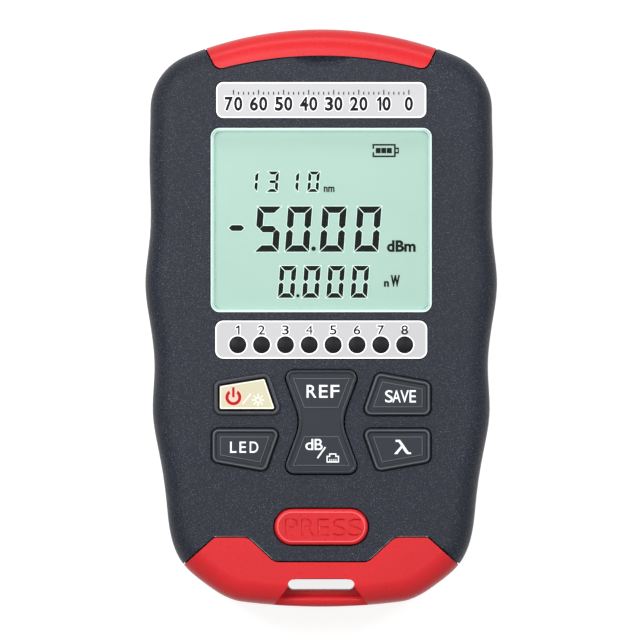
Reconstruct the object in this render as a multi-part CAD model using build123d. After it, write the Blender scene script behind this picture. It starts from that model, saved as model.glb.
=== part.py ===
from build123d import *
from functools import cache
from math import asin, cos, degrees, radians, sqrt
import os

os.makedirs("parts", exist_ok=True)

# Hand-held optical power meter with a detachable cable-test remote.
# Millimetres. It lies on its back: +Z comes out of the display, +Y points to
# the port end, and the origin is under the middle of the body.

# Body
LENGTH = 120.0
HALF_WIDTH = 36.55
THICKNESS = 28.0
WALL = 2.0
CROWN_RADIUS = 74.0
SHOULDER_RADIUS = 12.0
SHOULDER_INSET = 1.05
FRONT_EDGE_RADIUS = 4.6
BACK_EDGE_RADIUS = 5.0
PARTING_Z = 14.0
# Side stations: Y, and how far the side stands in from the thumb ridge
SIDE_STATIONS = (
    (32.0, 0.85),
    (17.0, 0.95),
    (7.0, 0.0),
    (-1.5, 1.05),
    (-10.5, 1.9),
    (-19.7, 1.55),
    (-29.0, 3.05),
    (-37.8, 4.35),
)
# Foot stations: height above the lower end, and the same inset
FOOT_STATIONS = ((14.0, 5.5), (9.2, 7.65), (4.8, 12.45))
FOOT_RADIUS = 130.0
FOOT_HALF_WIDTH = 16.4

# Clearances
SEAM = 0.3
KEY_CLEARANCE = 0.3
SLIDE_CLEARANCE = 0.4
FIT = 0.05

# Display and plates let into the front
WINDOW_WIDTH = 45.9
WINDOW_HEIGHT = 38.25
WINDOW_Y = 20.35
WINDOW_RADIUS = 1.85
WINDOW_THICKNESS = 1.0
WINDOW_LEDGE = 0.6
PLATE_THICKNESS = 0.5
NAME_PLATE_WIDTH = 43.6
NAME_PLATE_HEIGHT = 7.45
NAME_PLATE_Y = 45.25
NAME_PLATE_RADIUS = 1.5
INDICATOR_PLATE_WIDTH = 44.0
INDICATOR_PLATE_HEIGHT = 7.9
INDICATOR_PLATE_Y = -4.5
INDICATOR_PLATE_RADIUS = 1.7
LAMP_COUNT = 8
LAMP_PITCH = 4.95
LAMP_HOLE_DIAMETER = 3.57
LAMP_DIAMETER = 3.0
LAMP_Y = -5.57

# Board and what stands on it
BOARD_DEPTH = 7.4
BOARD_THICKNESS = 1.6
BOARD_HALF_WIDTH = 30.4
BOARD_TOP_Y = 43.4
BOARD_BOTTOM_Y = -31.6
BOARD_CORNER_RADIUS = 5.0
LCD_THICKNESS = 1.9
LCD_MARGIN = 1.3
LCD_FRAME_WALL = 1.0

# Keypad
KEYPAD_Y = -21.57
KEY_OUTER_X = 22.7
KEY_INNER_X = 8.38
KEY_INNER_TOP_X = 11.5
KEY_NEAR_Y = 1.38
KEY_OUTER_TOP_Y = 8.3
KEY_INNER_TOP_Y = 10.3
KEY_CORNER_RADIUS = 1.4
KEY_PROUD = 0.9
KEY_GROOVE_DEPTH = 0.55
KEY_RIM = 0.9
KEY_PLATE_INSET = 1.68
KEY_FLANGE = 0.8
KEY_FLANGE_THICKNESS = 0.8
KEY_EDGE = 0.3
POWER_KEY_INSET = 1.55
ROCKER_HALF_HEIGHT = 10.75
ROCKER_END_X = 8.05
ROCKER_WAIST_X = 4.14
ROCKER_WAIST_RADIUS = 8.0
ROCKER_END_RADIUS = 1.7
ROCKER_PLATE_WIDE_X = 5.87
ROCKER_PLATE_NARROW_X = 3.55
ROCKER_PLATE_FAR_Y = 9.07
ROCKER_PLATE_NEAR_Y = 2.97
ROCKER_PLATE_PROUD = 0.35
TRUNNION_RADIUS = 0.6
TRUNNION_REACH = 7.0
DOME_RADIUS = 2.2
MAT_THICKNESS = 1.0

# Release button
BUTTON_LENGTH = 19.4
BUTTON_WIDTH = 7.43
BUTTON_Y = -43.35
BUTTON_PROUD = 1.0
BUTTON_TRAVEL = 1.5
BUTTON_EDGE = 0.6
BUTTON_FLANGE = 1.1
BUTTON_FLANGE_THICKNESS = 1.2
HOOK_WIDTH = 5.0
HOOK_THICKNESS = 1.6
RELEASE_SPRING_X = 6.4
RELEASE_SPRING_RADIUS = 1.25
RELEASE_WIRE_RADIUS = 0.25

# Remote at the foot
REMOTE_WALL = 1.8
REMOTE_TOP = 14.4
REMOTE_VALLEY = 9.26
REMOTE_SHOULDER_OUTER_X = 22.15
REMOTE_SHOULDER_INNER_X = 15.3
REMOTE_VALLEY_X = 9.75
REMOTE_SLOPE = 0.9
REMOTE_OUTER_CORNER = 1.2
REMOTE_INNER_CORNER = 2.6
SPIGOT_WALL = 1.2
SPIGOT_REACH = 16.4
SPIGOT_LOW_Z = 4.6
DOCK_ROOF = 1.2
LANYARD_SLOT_LENGTH = 13.8
LANYARD_SLOT_WIDTH = 2.28
LANYARD_SLOT_RISE = 4.55
SCOOP_RISE = 5.9
SCOOP_TOP_X = 5.6
SCOOP_FOOT_X = 11.6
SCOOP_DEPTH = 5.5
SCOOP_FLOOR_DEPTH = 8.0
LANYARD_BAR_RADIUS = 1.15

# Sockets
JACK_WIDTH = 15.9
JACK_HEIGHT = 13.4
NETWORK_JACK_LENGTH = 21.0
REMOTE_JACK_LENGTH = 15.0
JACK_MOUTH_WIDTH = 11.9
JACK_MOUTH_HEIGHT = 7.0
JACK_MOUTH_DEPTH = 13.0
JACK_MOUTH_FLOOR = 2.2
JACK_CATCH_WIDTH = 6.2
JACK_CATCH_HEIGHT = 2.6

# Port bay and its cover
BAY_DEPTH = 14.0
BAY_HALF_WIDTH = 22.6
BAY_WALL = 1.6
PANEL_THICKNESS = 1.5
NETWORK_JACK_X = 11.0
OPTICAL_X = -7.5
PORT_Z = 12.3
TORCH_X = -18.4
TORCH_RADIUS = 2.5
ADAPTER_RADIUS = 4.0
ADAPTER_FLANGE_RADIUS = 6.4
ADAPTER_REACH = 7.0
FERRULE_BORE_RADIUS = 1.26
DETECTOR_RADIUS = 2.35
DETECTOR_LENGTH = 3.6
COVER_WALL = 1.8
COVER_LIP_DROP = 5.5
COVER_SIDE_DROP = 8.4
COVER_LOW_X = 21.7
COVER_SIDE_LEAN = 0.5
COVER_CORNER_RADIUS = 1.7
HINGE_DROP = 4.2
HINGE_Z = 2.0
BARREL_RADIUS = 3.2
BARREL_HALF_LENGTH = 13.0
PIN_RADIUS = 0.75
PIN_HALF_LENGTH = 17.0
NOTCH_HALF_WIDTH = 6.7
NOTCH_HEIGHT = 2.4
NOTCH_SPHERE_RADIUS = 20.0

# Batteries, their bay and its door
CELL_DIAMETER = 10.5
CELL_LENGTH = 44.5
CELL_COUNT = 3
CELL_PITCH = 11.1
CELL_Y = -1.75
DOOR_THICKNESS = 1.8
BAY_CELL_GAP = 0.4
CONTACT_ROOM = 3.0
CONTACT_THICKNESS = 0.4
BATTERY_SPRING_RADIUS = 2.6
BATTERY_WIRE_RADIUS = 0.35
CELL_BAY_WALL = 1.2
HOOK_WALL = 3.6
TAB_WIDTH = 6.0
TAB_X = 10.0
TAB_REACH = 2.0
TAB_THICKNESS = 1.1

# Fasteners
BOSS_RADIUS = 2.9
SCREW_HEAD_RADIUS = 2.3
SCREW_HEAD_HEIGHT = 1.6
SCREW_RADIUS = 1.1
SCREW_LENGTH = 14.0
SCREW_SINK = 4.0
UPPER_BOSS = (29.4, 37.5)
LOWER_BOSS = (26.0, -39.5)
POST_RADIUS = 1.9
BOARD_SCREW_RADIUS = 0.8
POSTS = ((27.4, 20.0), (27.4, -26.5))

TOP_Y = LENGTH / 2
BOTTOM_Y = -LENGTH / 2
FRONT_INNER_Z = THICKNESS - WALL
BOARD_TOP_Z = THICKNESS - BOARD_DEPTH
BOARD_BOTTOM_Z = BOARD_TOP_Z - BOARD_THICKNESS
HINGE_Y = TOP_Y - HINGE_DROP
PANEL_Y = TOP_Y - BAY_DEPTH
DOOR_HALF_WIDTH = CELL_PITCH * (CELL_COUNT - 1) / 2 + CELL_DIAMETER / 2 + BAY_CELL_GAP * 2
CELL_Z = DOOR_THICKNESS + BAY_CELL_GAP + CELL_DIAMETER / 2
BAY_CEILING_Z = CELL_Z + CELL_DIAMETER / 2 + BAY_CELL_GAP
BAY_LOW_Y = CELL_Y - CELL_LENGTH / 2 - CONTACT_ROOM
BAY_HIGH_Y = CELL_Y + CELL_LENGTH / 2 + CONTACT_ROOM
SPIGOT_TOP_Y = BOTTOM_Y + REMOTE_VALLEY + SPIGOT_REACH
SPIGOT_HIGH_Z = SPIGOT_LOW_Z + JACK_HEIGHT + 2 * SPIGOT_WALL + 2 * FIT
SPIGOT_HALF_WIDTH = JACK_WIDTH / 2 + FIT + SPIGOT_WALL
DOCK_ROOF_Z = SPIGOT_HIGH_Z + SLIDE_CLEARANCE
KEY_TOP_Z = THICKNESS + KEY_PROUD
KEY_FLANGE_TOP_Z = FRONT_INNER_Z - KEY_CLEARANCE
BUTTON_FLANGE_Z = FRONT_INNER_Z - KEY_CLEARANCE
TRUNNION_Z = FRONT_INNER_Z - 2 * TRUNNION_RADIUS
SKY = 4.0
FAR = 2 * LENGTH


def slab(plan, low, high):
    """Raise a plan from one height to another."""
    return Pos(0, 0, low) * extrude(plan, high - low, dir=(0, 0, 1))


def block(x0, x1, y0, y1, z0, z1):
    """A plain block between two corners."""
    centre = Pos((x0 + x1) / 2, (y0 + y1) / 2, (z0 + z1) / 2)
    return centre * Box(x1 - x0, y1 - y0, z1 - z0)


def rod_x(x0, x1, y, z, radius):
    """A round bar along X."""
    return Pos((x0 + x1) / 2, y, z) * Rot(0, 90, 0) * Cylinder(radius, x1 - x0)


def post(x, y, z0, z1, radius):
    """A round post along Z."""
    return Pos(x, y, (z0 + z1) / 2) * Cylinder(radius, z1 - z0)


def both_sides(solid):
    """A solid and its mirror image across the middle plane."""
    return solid + mirror(solid, Plane.YZ)


def turned_along_y(points, y):
    """Turn a (radius, distance) profile about a line along Y."""
    profile = make_face(Polyline(*[(r, d) for r, d in points], close=True))
    return Pos(0, y, 0) * revolve(profile, Axis.Y)


def body_outline(inset=0.0):
    """The silhouette, or a parallel one: crown arc, shoulder arcs, waisted sides and foot."""
    shoulder_x = HALF_WIDTH - SHOULDER_INSET
    crown_y = TOP_Y - CROWN_RADIUS
    centre_x = shoulder_x - SHOULDER_RADIUS
    reach = CROWN_RADIUS - SHOULDER_RADIUS
    lean = degrees(asin(centre_x / reach))
    centre_y = crown_y + reach * cos(radians(lean))
    crown = CenterArc((0, crown_y), CROWN_RADIUS - inset, 90 - lean, lean)
    shoulder = CenterArc((centre_x, centre_y), SHOULDER_RADIUS - inset, 0, 90 - lean)
    stations = [(shoulder_x, centre_y)]
    stations += [(HALF_WIDTH - inward, y) for y, inward in SIDE_STATIONS]
    stations += [(HALF_WIDTH - inward, BOTTOM_Y + rise) for rise, inward in FOOT_STATIONS]
    foot_y = BOTTOM_Y + FOOT_RADIUS
    foot_lean = degrees(asin(FOOT_HALF_WIDTH / FOOT_RADIUS))
    stations += [(FOOT_HALF_WIDTH, foot_y - FOOT_RADIUS * cos(radians(foot_lean)))]
    ends = [(0, -1), (-cos(radians(foot_lean)), -FOOT_HALF_WIDTH / FOOT_RADIUS)]
    foot = CenterArc((0, foot_y), FOOT_RADIUS - inset, -90, foot_lean)
    side = Spline(*stations, tangents=ends)
    if inset:
        headings = [side.tangent_at(side.param_at_point(point)) for point in stations]
        stations = [(x + inset * heading.Y, y - inset * heading.X)
                    for (x, y), heading in zip(stations, headings)]
        side = Spline(*stations, tangents=ends)
    half = Curve() + [crown, shoulder, side, foot]
    return make_face((half + mirror(half, Plane.YZ)).edges())


@cache
def envelope(inset=0.0):
    """The rounded outer form, or one parallel to it further in."""
    plan = body_outline(inset)
    form = slab(plan, inset, THICKNESS - inset)
    rims = form.faces().sort_by(Axis.Z)
    form = fillet(rims[-1].edges(), FRONT_EDGE_RADIUS - inset)
    return fillet(form.faces().sort_by(Axis.Z)[0].edges(), BACK_EDGE_RADIUS - inset)


@cache
def remote_plan(grow=0.0):
    """Plan of everything that belongs to the remote, below its stepped seam."""
    top = BOTTOM_Y + REMOTE_TOP
    valley = BOTTOM_Y + REMOTE_VALLEY
    run = HALF_WIDTH - REMOTE_SHOULDER_OUTER_X + WALL
    side_x = REMOTE_SHOULDER_OUTER_X + run
    side_y = top - run * REMOTE_SLOPE
    low = BOTTOM_Y - LENGTH
    right = [
        (REMOTE_VALLEY_X, valley),
        (REMOTE_SHOULDER_INNER_X, top),
        (REMOTE_SHOULDER_OUTER_X, top),
        (side_x, side_y),
        (side_x, low),
    ]
    left = [(-x, y) for x, y in reversed(right)]
    plan = Polygon(*right, *left, align=None)
    outer = [v for v in plan.vertices() if abs(abs(v.X) - REMOTE_SHOULDER_OUTER_X) < FIT]
    plan = fillet(outer, REMOTE_OUTER_CORNER)
    steps = (REMOTE_SHOULDER_INNER_X, REMOTE_VALLEY_X)
    inner = [v for v in plan.vertices() if min(abs(abs(v.X) - x) for x in steps) < FIT]
    plan = fillet(inner, REMOTE_INNER_CORNER)
    return offset(plan, grow) if grow else plan


@cache
def cover_plan(grow=0.0):
    """Plan of the dust cover: curved lip below, leaning sides, open beyond the end."""
    low_y = TOP_Y - COVER_SIDE_DROP
    lip_y = TOP_Y - COVER_LIP_DROP
    far_y = TOP_Y + SKY
    far_x = COVER_LOW_X + (far_y - low_y) * COVER_SIDE_LEAN
    lip = ThreePointArc((-COVER_LOW_X, low_y), (0, lip_y), (COVER_LOW_X, low_y))
    rest = Polyline((COVER_LOW_X, low_y), (far_x, far_y), (-far_x, far_y), (-COVER_LOW_X, low_y))
    plan = Sketch() + make_face(Curve() + [lip, rest])
    plan = fillet(plan.vertices().group_by(Axis.Y)[0], COVER_CORNER_RADIUS)
    return offset(plan, grow) if grow else plan


def key_plan(rounded=True):
    """Outline of the upper right key, about the middle of the keypad."""
    corners = (
        (KEY_INNER_TOP_X, KEY_INNER_TOP_Y),
        (KEY_OUTER_X, KEY_OUTER_TOP_Y),
        (KEY_OUTER_X, KEY_NEAR_Y),
        (KEY_INNER_X, KEY_NEAR_Y),
    )
    plan = Polygon(*corners, align=None)
    return fillet(plan.vertices(), KEY_CORNER_RADIUS) if rounded else plan


def rocker_plan():
    """Outline of the hourglass rocker key."""
    half = [
        (ROCKER_END_X, ROCKER_HALF_HEIGHT),
        (ROCKER_WAIST_X, 0),
        (ROCKER_END_X, -ROCKER_HALF_HEIGHT),
    ]
    plan = Polygon(*half, *[(-x, y) for x, y in reversed(half)], align=None)
    waist = [v for v in plan.vertices() if abs(v.Y) < FIT]
    plan = fillet(waist, ROCKER_WAIST_RADIUS)
    ends = [v for v in plan.vertices() if abs(v.Y) > ROCKER_HALF_HEIGHT - FIT]
    return fillet(ends, ROCKER_END_RADIUS)


def key_place(right, upper):
    """Put a key form of the upper right key in one of the four places."""

    def place(form):
        if not upper:
            form = mirror(form, Plane.XZ)
        if not right:
            form = mirror(form, Plane.YZ)
        return Pos(0, KEYPAD_Y, 0) * form

    return place


def key_openings():
    """Plan of the five holes that the keys stand in."""
    hole = offset(key_plan(), KEY_CLEARANCE)
    plan = Pos(0, KEYPAD_Y) * offset(rocker_plan(), KEY_CLEARANCE)
    for right in (True, False):
        for upper in (True, False):
            plan += key_place(right, upper)(hole)
    return plan


def button_plan(grow=0.0):
    """Outline of the release button."""
    return Pos(0, BUTTON_Y) * SlotOverall(BUTTON_LENGTH + 2 * grow, BUTTON_WIDTH + 2 * grow)


def lamp_places():
    """X of each indicator lamp."""
    first = -LAMP_PITCH * (LAMP_COUNT - 1) / 2
    return [first + LAMP_PITCH * number for number in range(LAMP_COUNT)]


def hollow_housing():
    """Outer wall of the main housing with the remote's end closed off."""
    remote = remote_plan(SEAM)
    remote_and_wall = remote_plan(SEAM + WALL)
    outer = envelope() - slab(remote, -SKY, THICKNESS + SKY)
    inner = envelope(WALL) - slab(remote_and_wall, -SKY, THICKNESS + SKY)
    dock = SPIGOT_HALF_WIDTH + SLIDE_CLEARANCE
    mouth = block(-dock, dock, BOTTOM_Y, SPIGOT_TOP_Y,
                  SPIGOT_LOW_Z - SLIDE_CLEARANCE, SPIGOT_HIGH_Z + SLIDE_CLEARANCE)
    return outer - inner - mouth


def bay_walls():
    """The two walls beside the ports, which the cover closes against."""
    wall = block(BAY_HALF_WIDTH, BAY_HALF_WIDTH + BAY_WALL, PANEL_Y - PANEL_THICKNESS, TOP_Y,
                 0, THICKNESS)
    return both_sides(wall) & envelope(WALL / 2)


def screw_places():
    """The four corners where the two halves are screwed together."""
    places = []
    for x, y in (UPPER_BOSS, LOWER_BOSS):
        places += [(x, y), (-x, y)]
    return places


def post_places():
    """The four posts that carry the board."""
    places = []
    for x, y in POSTS:
        places += [(x, y), (-x, y)]
    return places


def front_shell(housing):
    """Moulded front half with its openings, posts, rocker bearings and dock roof."""
    shell = housing & block(-FAR, FAR, -FAR, FAR, PARTING_Z, THICKNESS + SKY)
    shell += bay_walls() & block(-FAR, FAR, -FAR, FAR, PARTING_Z, THICKNESS)
    shell -= slab(cover_plan(SEAM), 0, THICKNESS + SKY) - envelope(COVER_WALL + SEAM)
    inner_bay = block(-BAY_HALF_WIDTH, BAY_HALF_WIDTH, PANEL_Y, TOP_Y + SKY, 0, THICKNESS + SKY)
    shell -= inner_bay & slab(cover_plan(SEAM), 0, THICKNESS + SKY)

    # Nail notch under the cover's lip
    lip_y = TOP_Y - COVER_LIP_DROP
    foot_radius = (NOTCH_HALF_WIDTH ** 2 + NOTCH_HEIGHT ** 2) / (2 * NOTCH_HEIGHT)
    notch_y = lip_y - NOTCH_HEIGHT + foot_radius
    notch_z = THICKNESS + sqrt(NOTCH_SPHERE_RADIUS ** 2 - foot_radius ** 2)
    shell -= Pos(0, notch_y, notch_z) * Sphere(NOTCH_SPHERE_RADIUS)

    # Display opening with a ledge, and the two plate recesses
    window = Pos(0, WINDOW_Y) * RectangleRounded(WINDOW_WIDTH + FIT, WINDOW_HEIGHT + FIT,
                                                 WINDOW_RADIUS)
    view = Pos(0, WINDOW_Y) * RectangleRounded(WINDOW_WIDTH - 2 * WINDOW_LEDGE,
                                               WINDOW_HEIGHT - 2 * WINDOW_LEDGE, WINDOW_RADIUS)
    shell -= slab(window, THICKNESS - WINDOW_THICKNESS, THICKNESS + SKY)
    shell -= slab(view, PARTING_Z, THICKNESS + SKY)
    plates = name_plate_plan(FIT) + indicator_plate_plan(FIT)
    shell -= slab(plates, THICKNESS - PLATE_THICKNESS, THICKNESS + SKY)
    for x in lamp_places():
        shell -= post(x, LAMP_Y, PARTING_Z, THICKNESS + SKY, LAMP_HOLE_DIAMETER / 2)

    # Key and button holes
    shell -= slab(key_openings(), PARTING_Z, THICKNESS + SKY)
    shell -= slab(button_plan(KEY_CLEARANCE), PARTING_Z, THICKNESS + SKY)

    # Bearings of the rocker, under the bars between the keys
    arm = block(TRUNNION_REACH - 1.6, TRUNNION_REACH,
                KEYPAD_Y - 2 * TRUNNION_RADIUS, KEYPAD_Y + 2 * TRUNNION_RADIUS,
                TRUNNION_Z - 2 * TRUNNION_RADIUS, FRONT_INNER_Z)
    shell += both_sides(arm)
    shell -= rod_x(-FAR, FAR, KEYPAD_Y, TRUNNION_Z, TRUNNION_RADIUS + FIT) & \
        block(-TRUNNION_REACH, TRUNNION_REACH, -FAR, FAR, 0, THICKNESS)

    # Screw bosses and board posts
    for x, y in screw_places():
        shell += post(x, y, PARTING_Z, FRONT_INNER_Z, BOSS_RADIUS)
        shell -= post(x, y, PARTING_Z, FRONT_INNER_Z - WALL, SCREW_RADIUS - FIT)
    for x, y in post_places():
        shell += post(x, y, BOARD_TOP_Z, FRONT_INNER_Z, POST_RADIUS)
        shell -= post(x, y, BOARD_TOP_Z, FRONT_INNER_Z - WALL / 2, BOARD_SCREW_RADIUS)

    # Dock roof over the remote's spigot, carrying the button's springs
    roof_x = BUTTON_LENGTH / 2 + BUTTON_FLANGE + KEY_CLEARANCE
    roof_low = BUTTON_Y - BUTTON_WIDTH / 2 - BUTTON_FLANGE - KEY_CLEARANCE
    roof_high = BUTTON_Y + BUTTON_WIDTH / 2 + BUTTON_FLANGE + KEY_CLEARANCE
    roof = block(-roof_x - WALL, roof_x + WALL, roof_low, roof_high,
                 DOCK_ROOF_Z, DOCK_ROOF_Z + DOCK_ROOF)
    roof += both_sides(block(roof_x, roof_x + WALL, roof_low, roof_high,
                             DOCK_ROOF_Z, FRONT_INNER_Z))
    hook = HOOK_WIDTH / 2 + KEY_CLEARANCE
    roof -= block(-hook, hook, BUTTON_Y - hook, BUTTON_Y + hook, DOCK_ROOF_Z, FRONT_INNER_Z)
    roof -= slab(remote_plan(SEAM), 0, THICKNESS)
    return shell + (roof & envelope(WALL / 2))


def rear_shell(housing):
    """Moulded back half with the battery bay, cover hinge rails and dock guides."""
    shell = housing & block(-FAR, FAR, -FAR, FAR, -SKY, PARTING_Z)
    shell += bay_walls() & block(-FAR, FAR, -FAR, FAR, 0, PARTING_Z)
    shell -= slab(cover_plan(SEAM), -SKY, PARTING_Z) - envelope(COVER_WALL + SEAM)
    inner_bay = block(-BAY_HALF_WIDTH, BAY_HALF_WIDTH, PANEL_Y, TOP_Y + SKY, -SKY, PARTING_Z)
    shell -= inner_bay & slab(cover_plan(SEAM), -SKY, PARTING_Z)

    # Hinge rails either side of the cover's barrel
    sweep_radius = BARREL_RADIUS + SEAM
    rail_from = BARREL_HALF_LENGTH + SEAM
    rail_to = BAY_HALF_WIDTH + BAY_WALL
    rail = rod_x(rail_from, rail_to, HINGE_Y, HINGE_Z, sweep_radius)
    rail += block(rail_from, rail_to, PANEL_Y, HINGE_Y, 0, WALL)
    shell += both_sides(rail) & envelope()
    shell -= block(-rail_from, rail_from, HINGE_Y - sweep_radius, TOP_Y + SKY, -SKY, PARTING_Z)
    pin_reach = PIN_HALF_LENGTH + SEAM
    shell -= rod_x(-pin_reach, pin_reach, HINGE_Y, HINGE_Z, PIN_RADIUS + FIT)

    # Battery bay: a tub open to the back, with a thick wall where the door hooks in
    bay = block(-DOOR_HALF_WIDTH - CELL_BAY_WALL, DOOR_HALF_WIDTH + CELL_BAY_WALL,
                BAY_LOW_Y - HOOK_WALL, BAY_HIGH_Y + CELL_BAY_WALL,
                0, BAY_CEILING_Z + CELL_BAY_WALL)
    room = block(-DOOR_HALF_WIDTH, DOOR_HALF_WIDTH, BAY_LOW_Y, BAY_HIGH_Y, -SKY, BAY_CEILING_Z)
    shell = shell + bay - room
    for x in (-TAB_X, TAB_X):
        half = TAB_WIDTH / 2 + KEY_CLEARANCE
        shell -= block(x - half, x + half, BAY_LOW_Y - TAB_REACH - 2 * KEY_CLEARANCE,
                       BAY_LOW_Y, WALL, WALL + TAB_THICKNESS + 3 * KEY_CLEARANCE)
    latch = TAB_WIDTH + KEY_CLEARANCE
    shell -= block(-latch, latch, BAY_HIGH_Y, BAY_HIGH_Y + CELL_BAY_WALL * 2, -SKY, WALL / 2)

    # Screw bosses, sunk from the back
    for x, y in screw_places():
        shell += post(x, y, 0, PARTING_Z, BOSS_RADIUS + WALL / 2) & envelope(FIT)
        shell -= post(x, y, -SKY, SCREW_SINK, SCREW_HEAD_RADIUS + KEY_CLEARANCE)
        shell -= post(x, y, 0, PARTING_Z, SCREW_RADIUS + FIT)

    # Guides that keep the remote's spigot straight
    inner_x = SPIGOT_HALF_WIDTH + SLIDE_CLEARANCE
    guide_low = BOTTOM_Y + REMOTE_TOP + SEAM
    guide = block(inner_x, inner_x + WALL, guide_low, SPIGOT_TOP_Y, WALL / 2, PARTING_Z)
    return shell + both_sides(guide)


def dust_cover():
    """Curved cover over the port end, with its hinge barrel at the back edge."""
    skin = envelope() - envelope(COVER_WALL)
    cover = skin & slab(cover_plan(), -SKY, THICKNESS + SKY)
    cover -= block(-FAR, FAR, -FAR, HINGE_Y, -SKY, HINGE_Z)
    sweep_radius = BARREL_RADIUS + 2 * SEAM
    cover -= both_sides(rod_x(BARREL_HALF_LENGTH, FAR, HINGE_Y, HINGE_Z, sweep_radius))
    cover -= both_sides(block(BARREL_HALF_LENGTH, FAR, -FAR, FAR, -SKY, HINGE_Z))
    barrel = rod_x(-BARREL_HALF_LENGTH, BARREL_HALF_LENGTH, HINGE_Y, HINGE_Z, BARREL_RADIUS)
    cover += barrel & envelope()
    return cover - rod_x(-FAR, FAR, HINGE_Y, HINGE_Z, PIN_RADIUS + FIT)


def dust_cover_pin():
    """Steel pin through the cover's barrel."""
    return rod_x(-PIN_HALF_LENGTH, PIN_HALF_LENGTH, HINGE_Y, HINGE_Z, PIN_RADIUS)


def name_plate_plan(grow=0.0):
    """Outline of the plate above the display."""
    return Pos(0, NAME_PLATE_Y) * RectangleRounded(NAME_PLATE_WIDTH + 2 * grow,
                                                   NAME_PLATE_HEIGHT + 2 * grow,
                                                   NAME_PLATE_RADIUS)


def indicator_plate_plan(grow=0.0):
    """Outline of the plate around the lamps."""
    return Pos(0, INDICATOR_PLATE_Y) * RectangleRounded(INDICATOR_PLATE_WIDTH + 2 * grow,
                                                        INDICATOR_PLATE_HEIGHT + 2 * grow,
                                                        INDICATOR_PLATE_RADIUS)


def name_plate():
    """Thin plate let into the front, above the display."""
    return slab(name_plate_plan(), THICKNESS - PLATE_THICKNESS, THICKNESS)


def indicator_plate():
    """Thin plate with a hole for each lamp."""
    plate = slab(indicator_plate_plan(), THICKNESS - PLATE_THICKNESS, THICKNESS)
    for x in lamp_places():
        plate -= post(x, LAMP_Y, 0, THICKNESS + SKY, LAMP_HOLE_DIAMETER / 2)
    return plate


def indicator_lamp(x):
    """One lamp: flanged foot on the board and a domed lens in the plate's hole."""
    radius = LAMP_DIAMETER / 2
    dome_z = THICKNESS - SEAM - radius
    lamp = post(x, LAMP_Y, BOARD_TOP_Z, dome_z, radius)
    lamp += post(x, LAMP_Y, BOARD_TOP_Z, BOARD_TOP_Z + 1, radius + 0.35)
    return lamp + Pos(x, LAMP_Y, dome_z) * Sphere(radius)


def display_window():
    """Clear window on the ledge of the display opening."""
    plan = Pos(0, WINDOW_Y) * RectangleRounded(WINDOW_WIDTH, WINDOW_HEIGHT, WINDOW_RADIUS)
    window = slab(plan, THICKNESS - WINDOW_THICKNESS, THICKNESS)
    return chamfer(window.faces().sort_by(Axis.Z)[-1].edges(), 0.15)


def lcd_size():
    """Width and height of the display glass, with its bonded margin."""
    return WINDOW_WIDTH + LCD_MARGIN, WINDOW_HEIGHT + LCD_MARGIN


def lcd_panel():
    """Display glass close under the front wall."""
    width, height = lcd_size()
    plan = Pos(0, WINDOW_Y) * Rectangle(width, height)
    return slab(plan, FRONT_INNER_Z - FIT - LCD_THICKNESS, FRONT_INNER_Z - FIT)


def lcd_backlight():
    """Light guide between the glass and the board."""
    width, height = lcd_size()
    plan = Pos(0, WINDOW_Y) * Rectangle(width, height)
    return slab(plan, BOARD_TOP_Z, FRONT_INNER_Z - FIT - LCD_THICKNESS)


def lcd_frame():
    """Frame that holds the glass and its light guide on the board."""
    width, height = lcd_size()
    room = Pos(0, WINDOW_Y) * Rectangle(width + 2 * FIT, height + 2 * FIT)
    rim = Pos(0, WINDOW_Y) * Rectangle(width + 2 * LCD_FRAME_WALL, height + 2 * LCD_FRAME_WALL)
    return slab(rim - room, BOARD_TOP_Z, FRONT_INNER_Z - FIT)


def key(place):
    """A key with a rim bead, a groove and a raised plate, on a retaining flange."""
    plan = key_plan()
    groove_z = KEY_TOP_Z - KEY_GROOVE_DEPTH
    body = slab(plan, KEY_FLANGE_TOP_Z, groove_z)
    rim = slab(plan - offset(plan, -KEY_RIM), groove_z, KEY_TOP_Z)
    rim = fillet(rim.faces().sort_by(Axis.Z)[-1].edges(), KEY_EDGE)
    plate = slab(offset(key_plan(rounded=False), -KEY_PLATE_INSET), groove_z, KEY_TOP_Z)
    plate = chamfer(plate.faces().sort_by(Axis.Z)[-1].edges(), KEY_EDGE / 2)
    flange = slab(offset(plan, KEY_FLANGE), KEY_FLANGE_TOP_Z - KEY_FLANGE_THICKNESS,
                  KEY_FLANGE_TOP_Z)
    return place(body + rim + plate + flange)


def power_ring():
    """Fixed dark bezel in the upper left key hole."""
    place = key_place(right=False, upper=True)
    plan = offset(key_plan(), KEY_CLEARANCE - FIT)
    hole = offset(key_plan(rounded=False), KEY_CLEARANCE - POWER_KEY_INSET)
    ring = slab(plan, FRONT_INNER_Z - FIT, KEY_TOP_Z)
    ring = fillet(ring.faces().sort_by(Axis.Z)[-1].edges(), 2 * KEY_EDGE)
    flange = slab(offset(plan, KEY_FLANGE), FRONT_INNER_Z - FIT - KEY_FLANGE_THICKNESS,
                  FRONT_INNER_Z - FIT)
    return place(ring + flange - slab(hole, 0, THICKNESS + SKY))


def power_key():
    """Power key inside its bezel."""
    place = key_place(right=False, upper=True)
    plan = offset(key_plan(rounded=False), -POWER_KEY_INSET)
    low = FRONT_INNER_Z - FIT - KEY_FLANGE_THICKNESS - KEY_CLEARANCE
    body = slab(plan, low, KEY_TOP_Z)
    body = chamfer(body.faces().sort_by(Axis.Z)[-1].edges(), KEY_EDGE / 2)
    flange = slab(offset(plan, KEY_FLANGE), low - KEY_FLANGE_THICKNESS, low)
    return place(body + flange)


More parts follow.
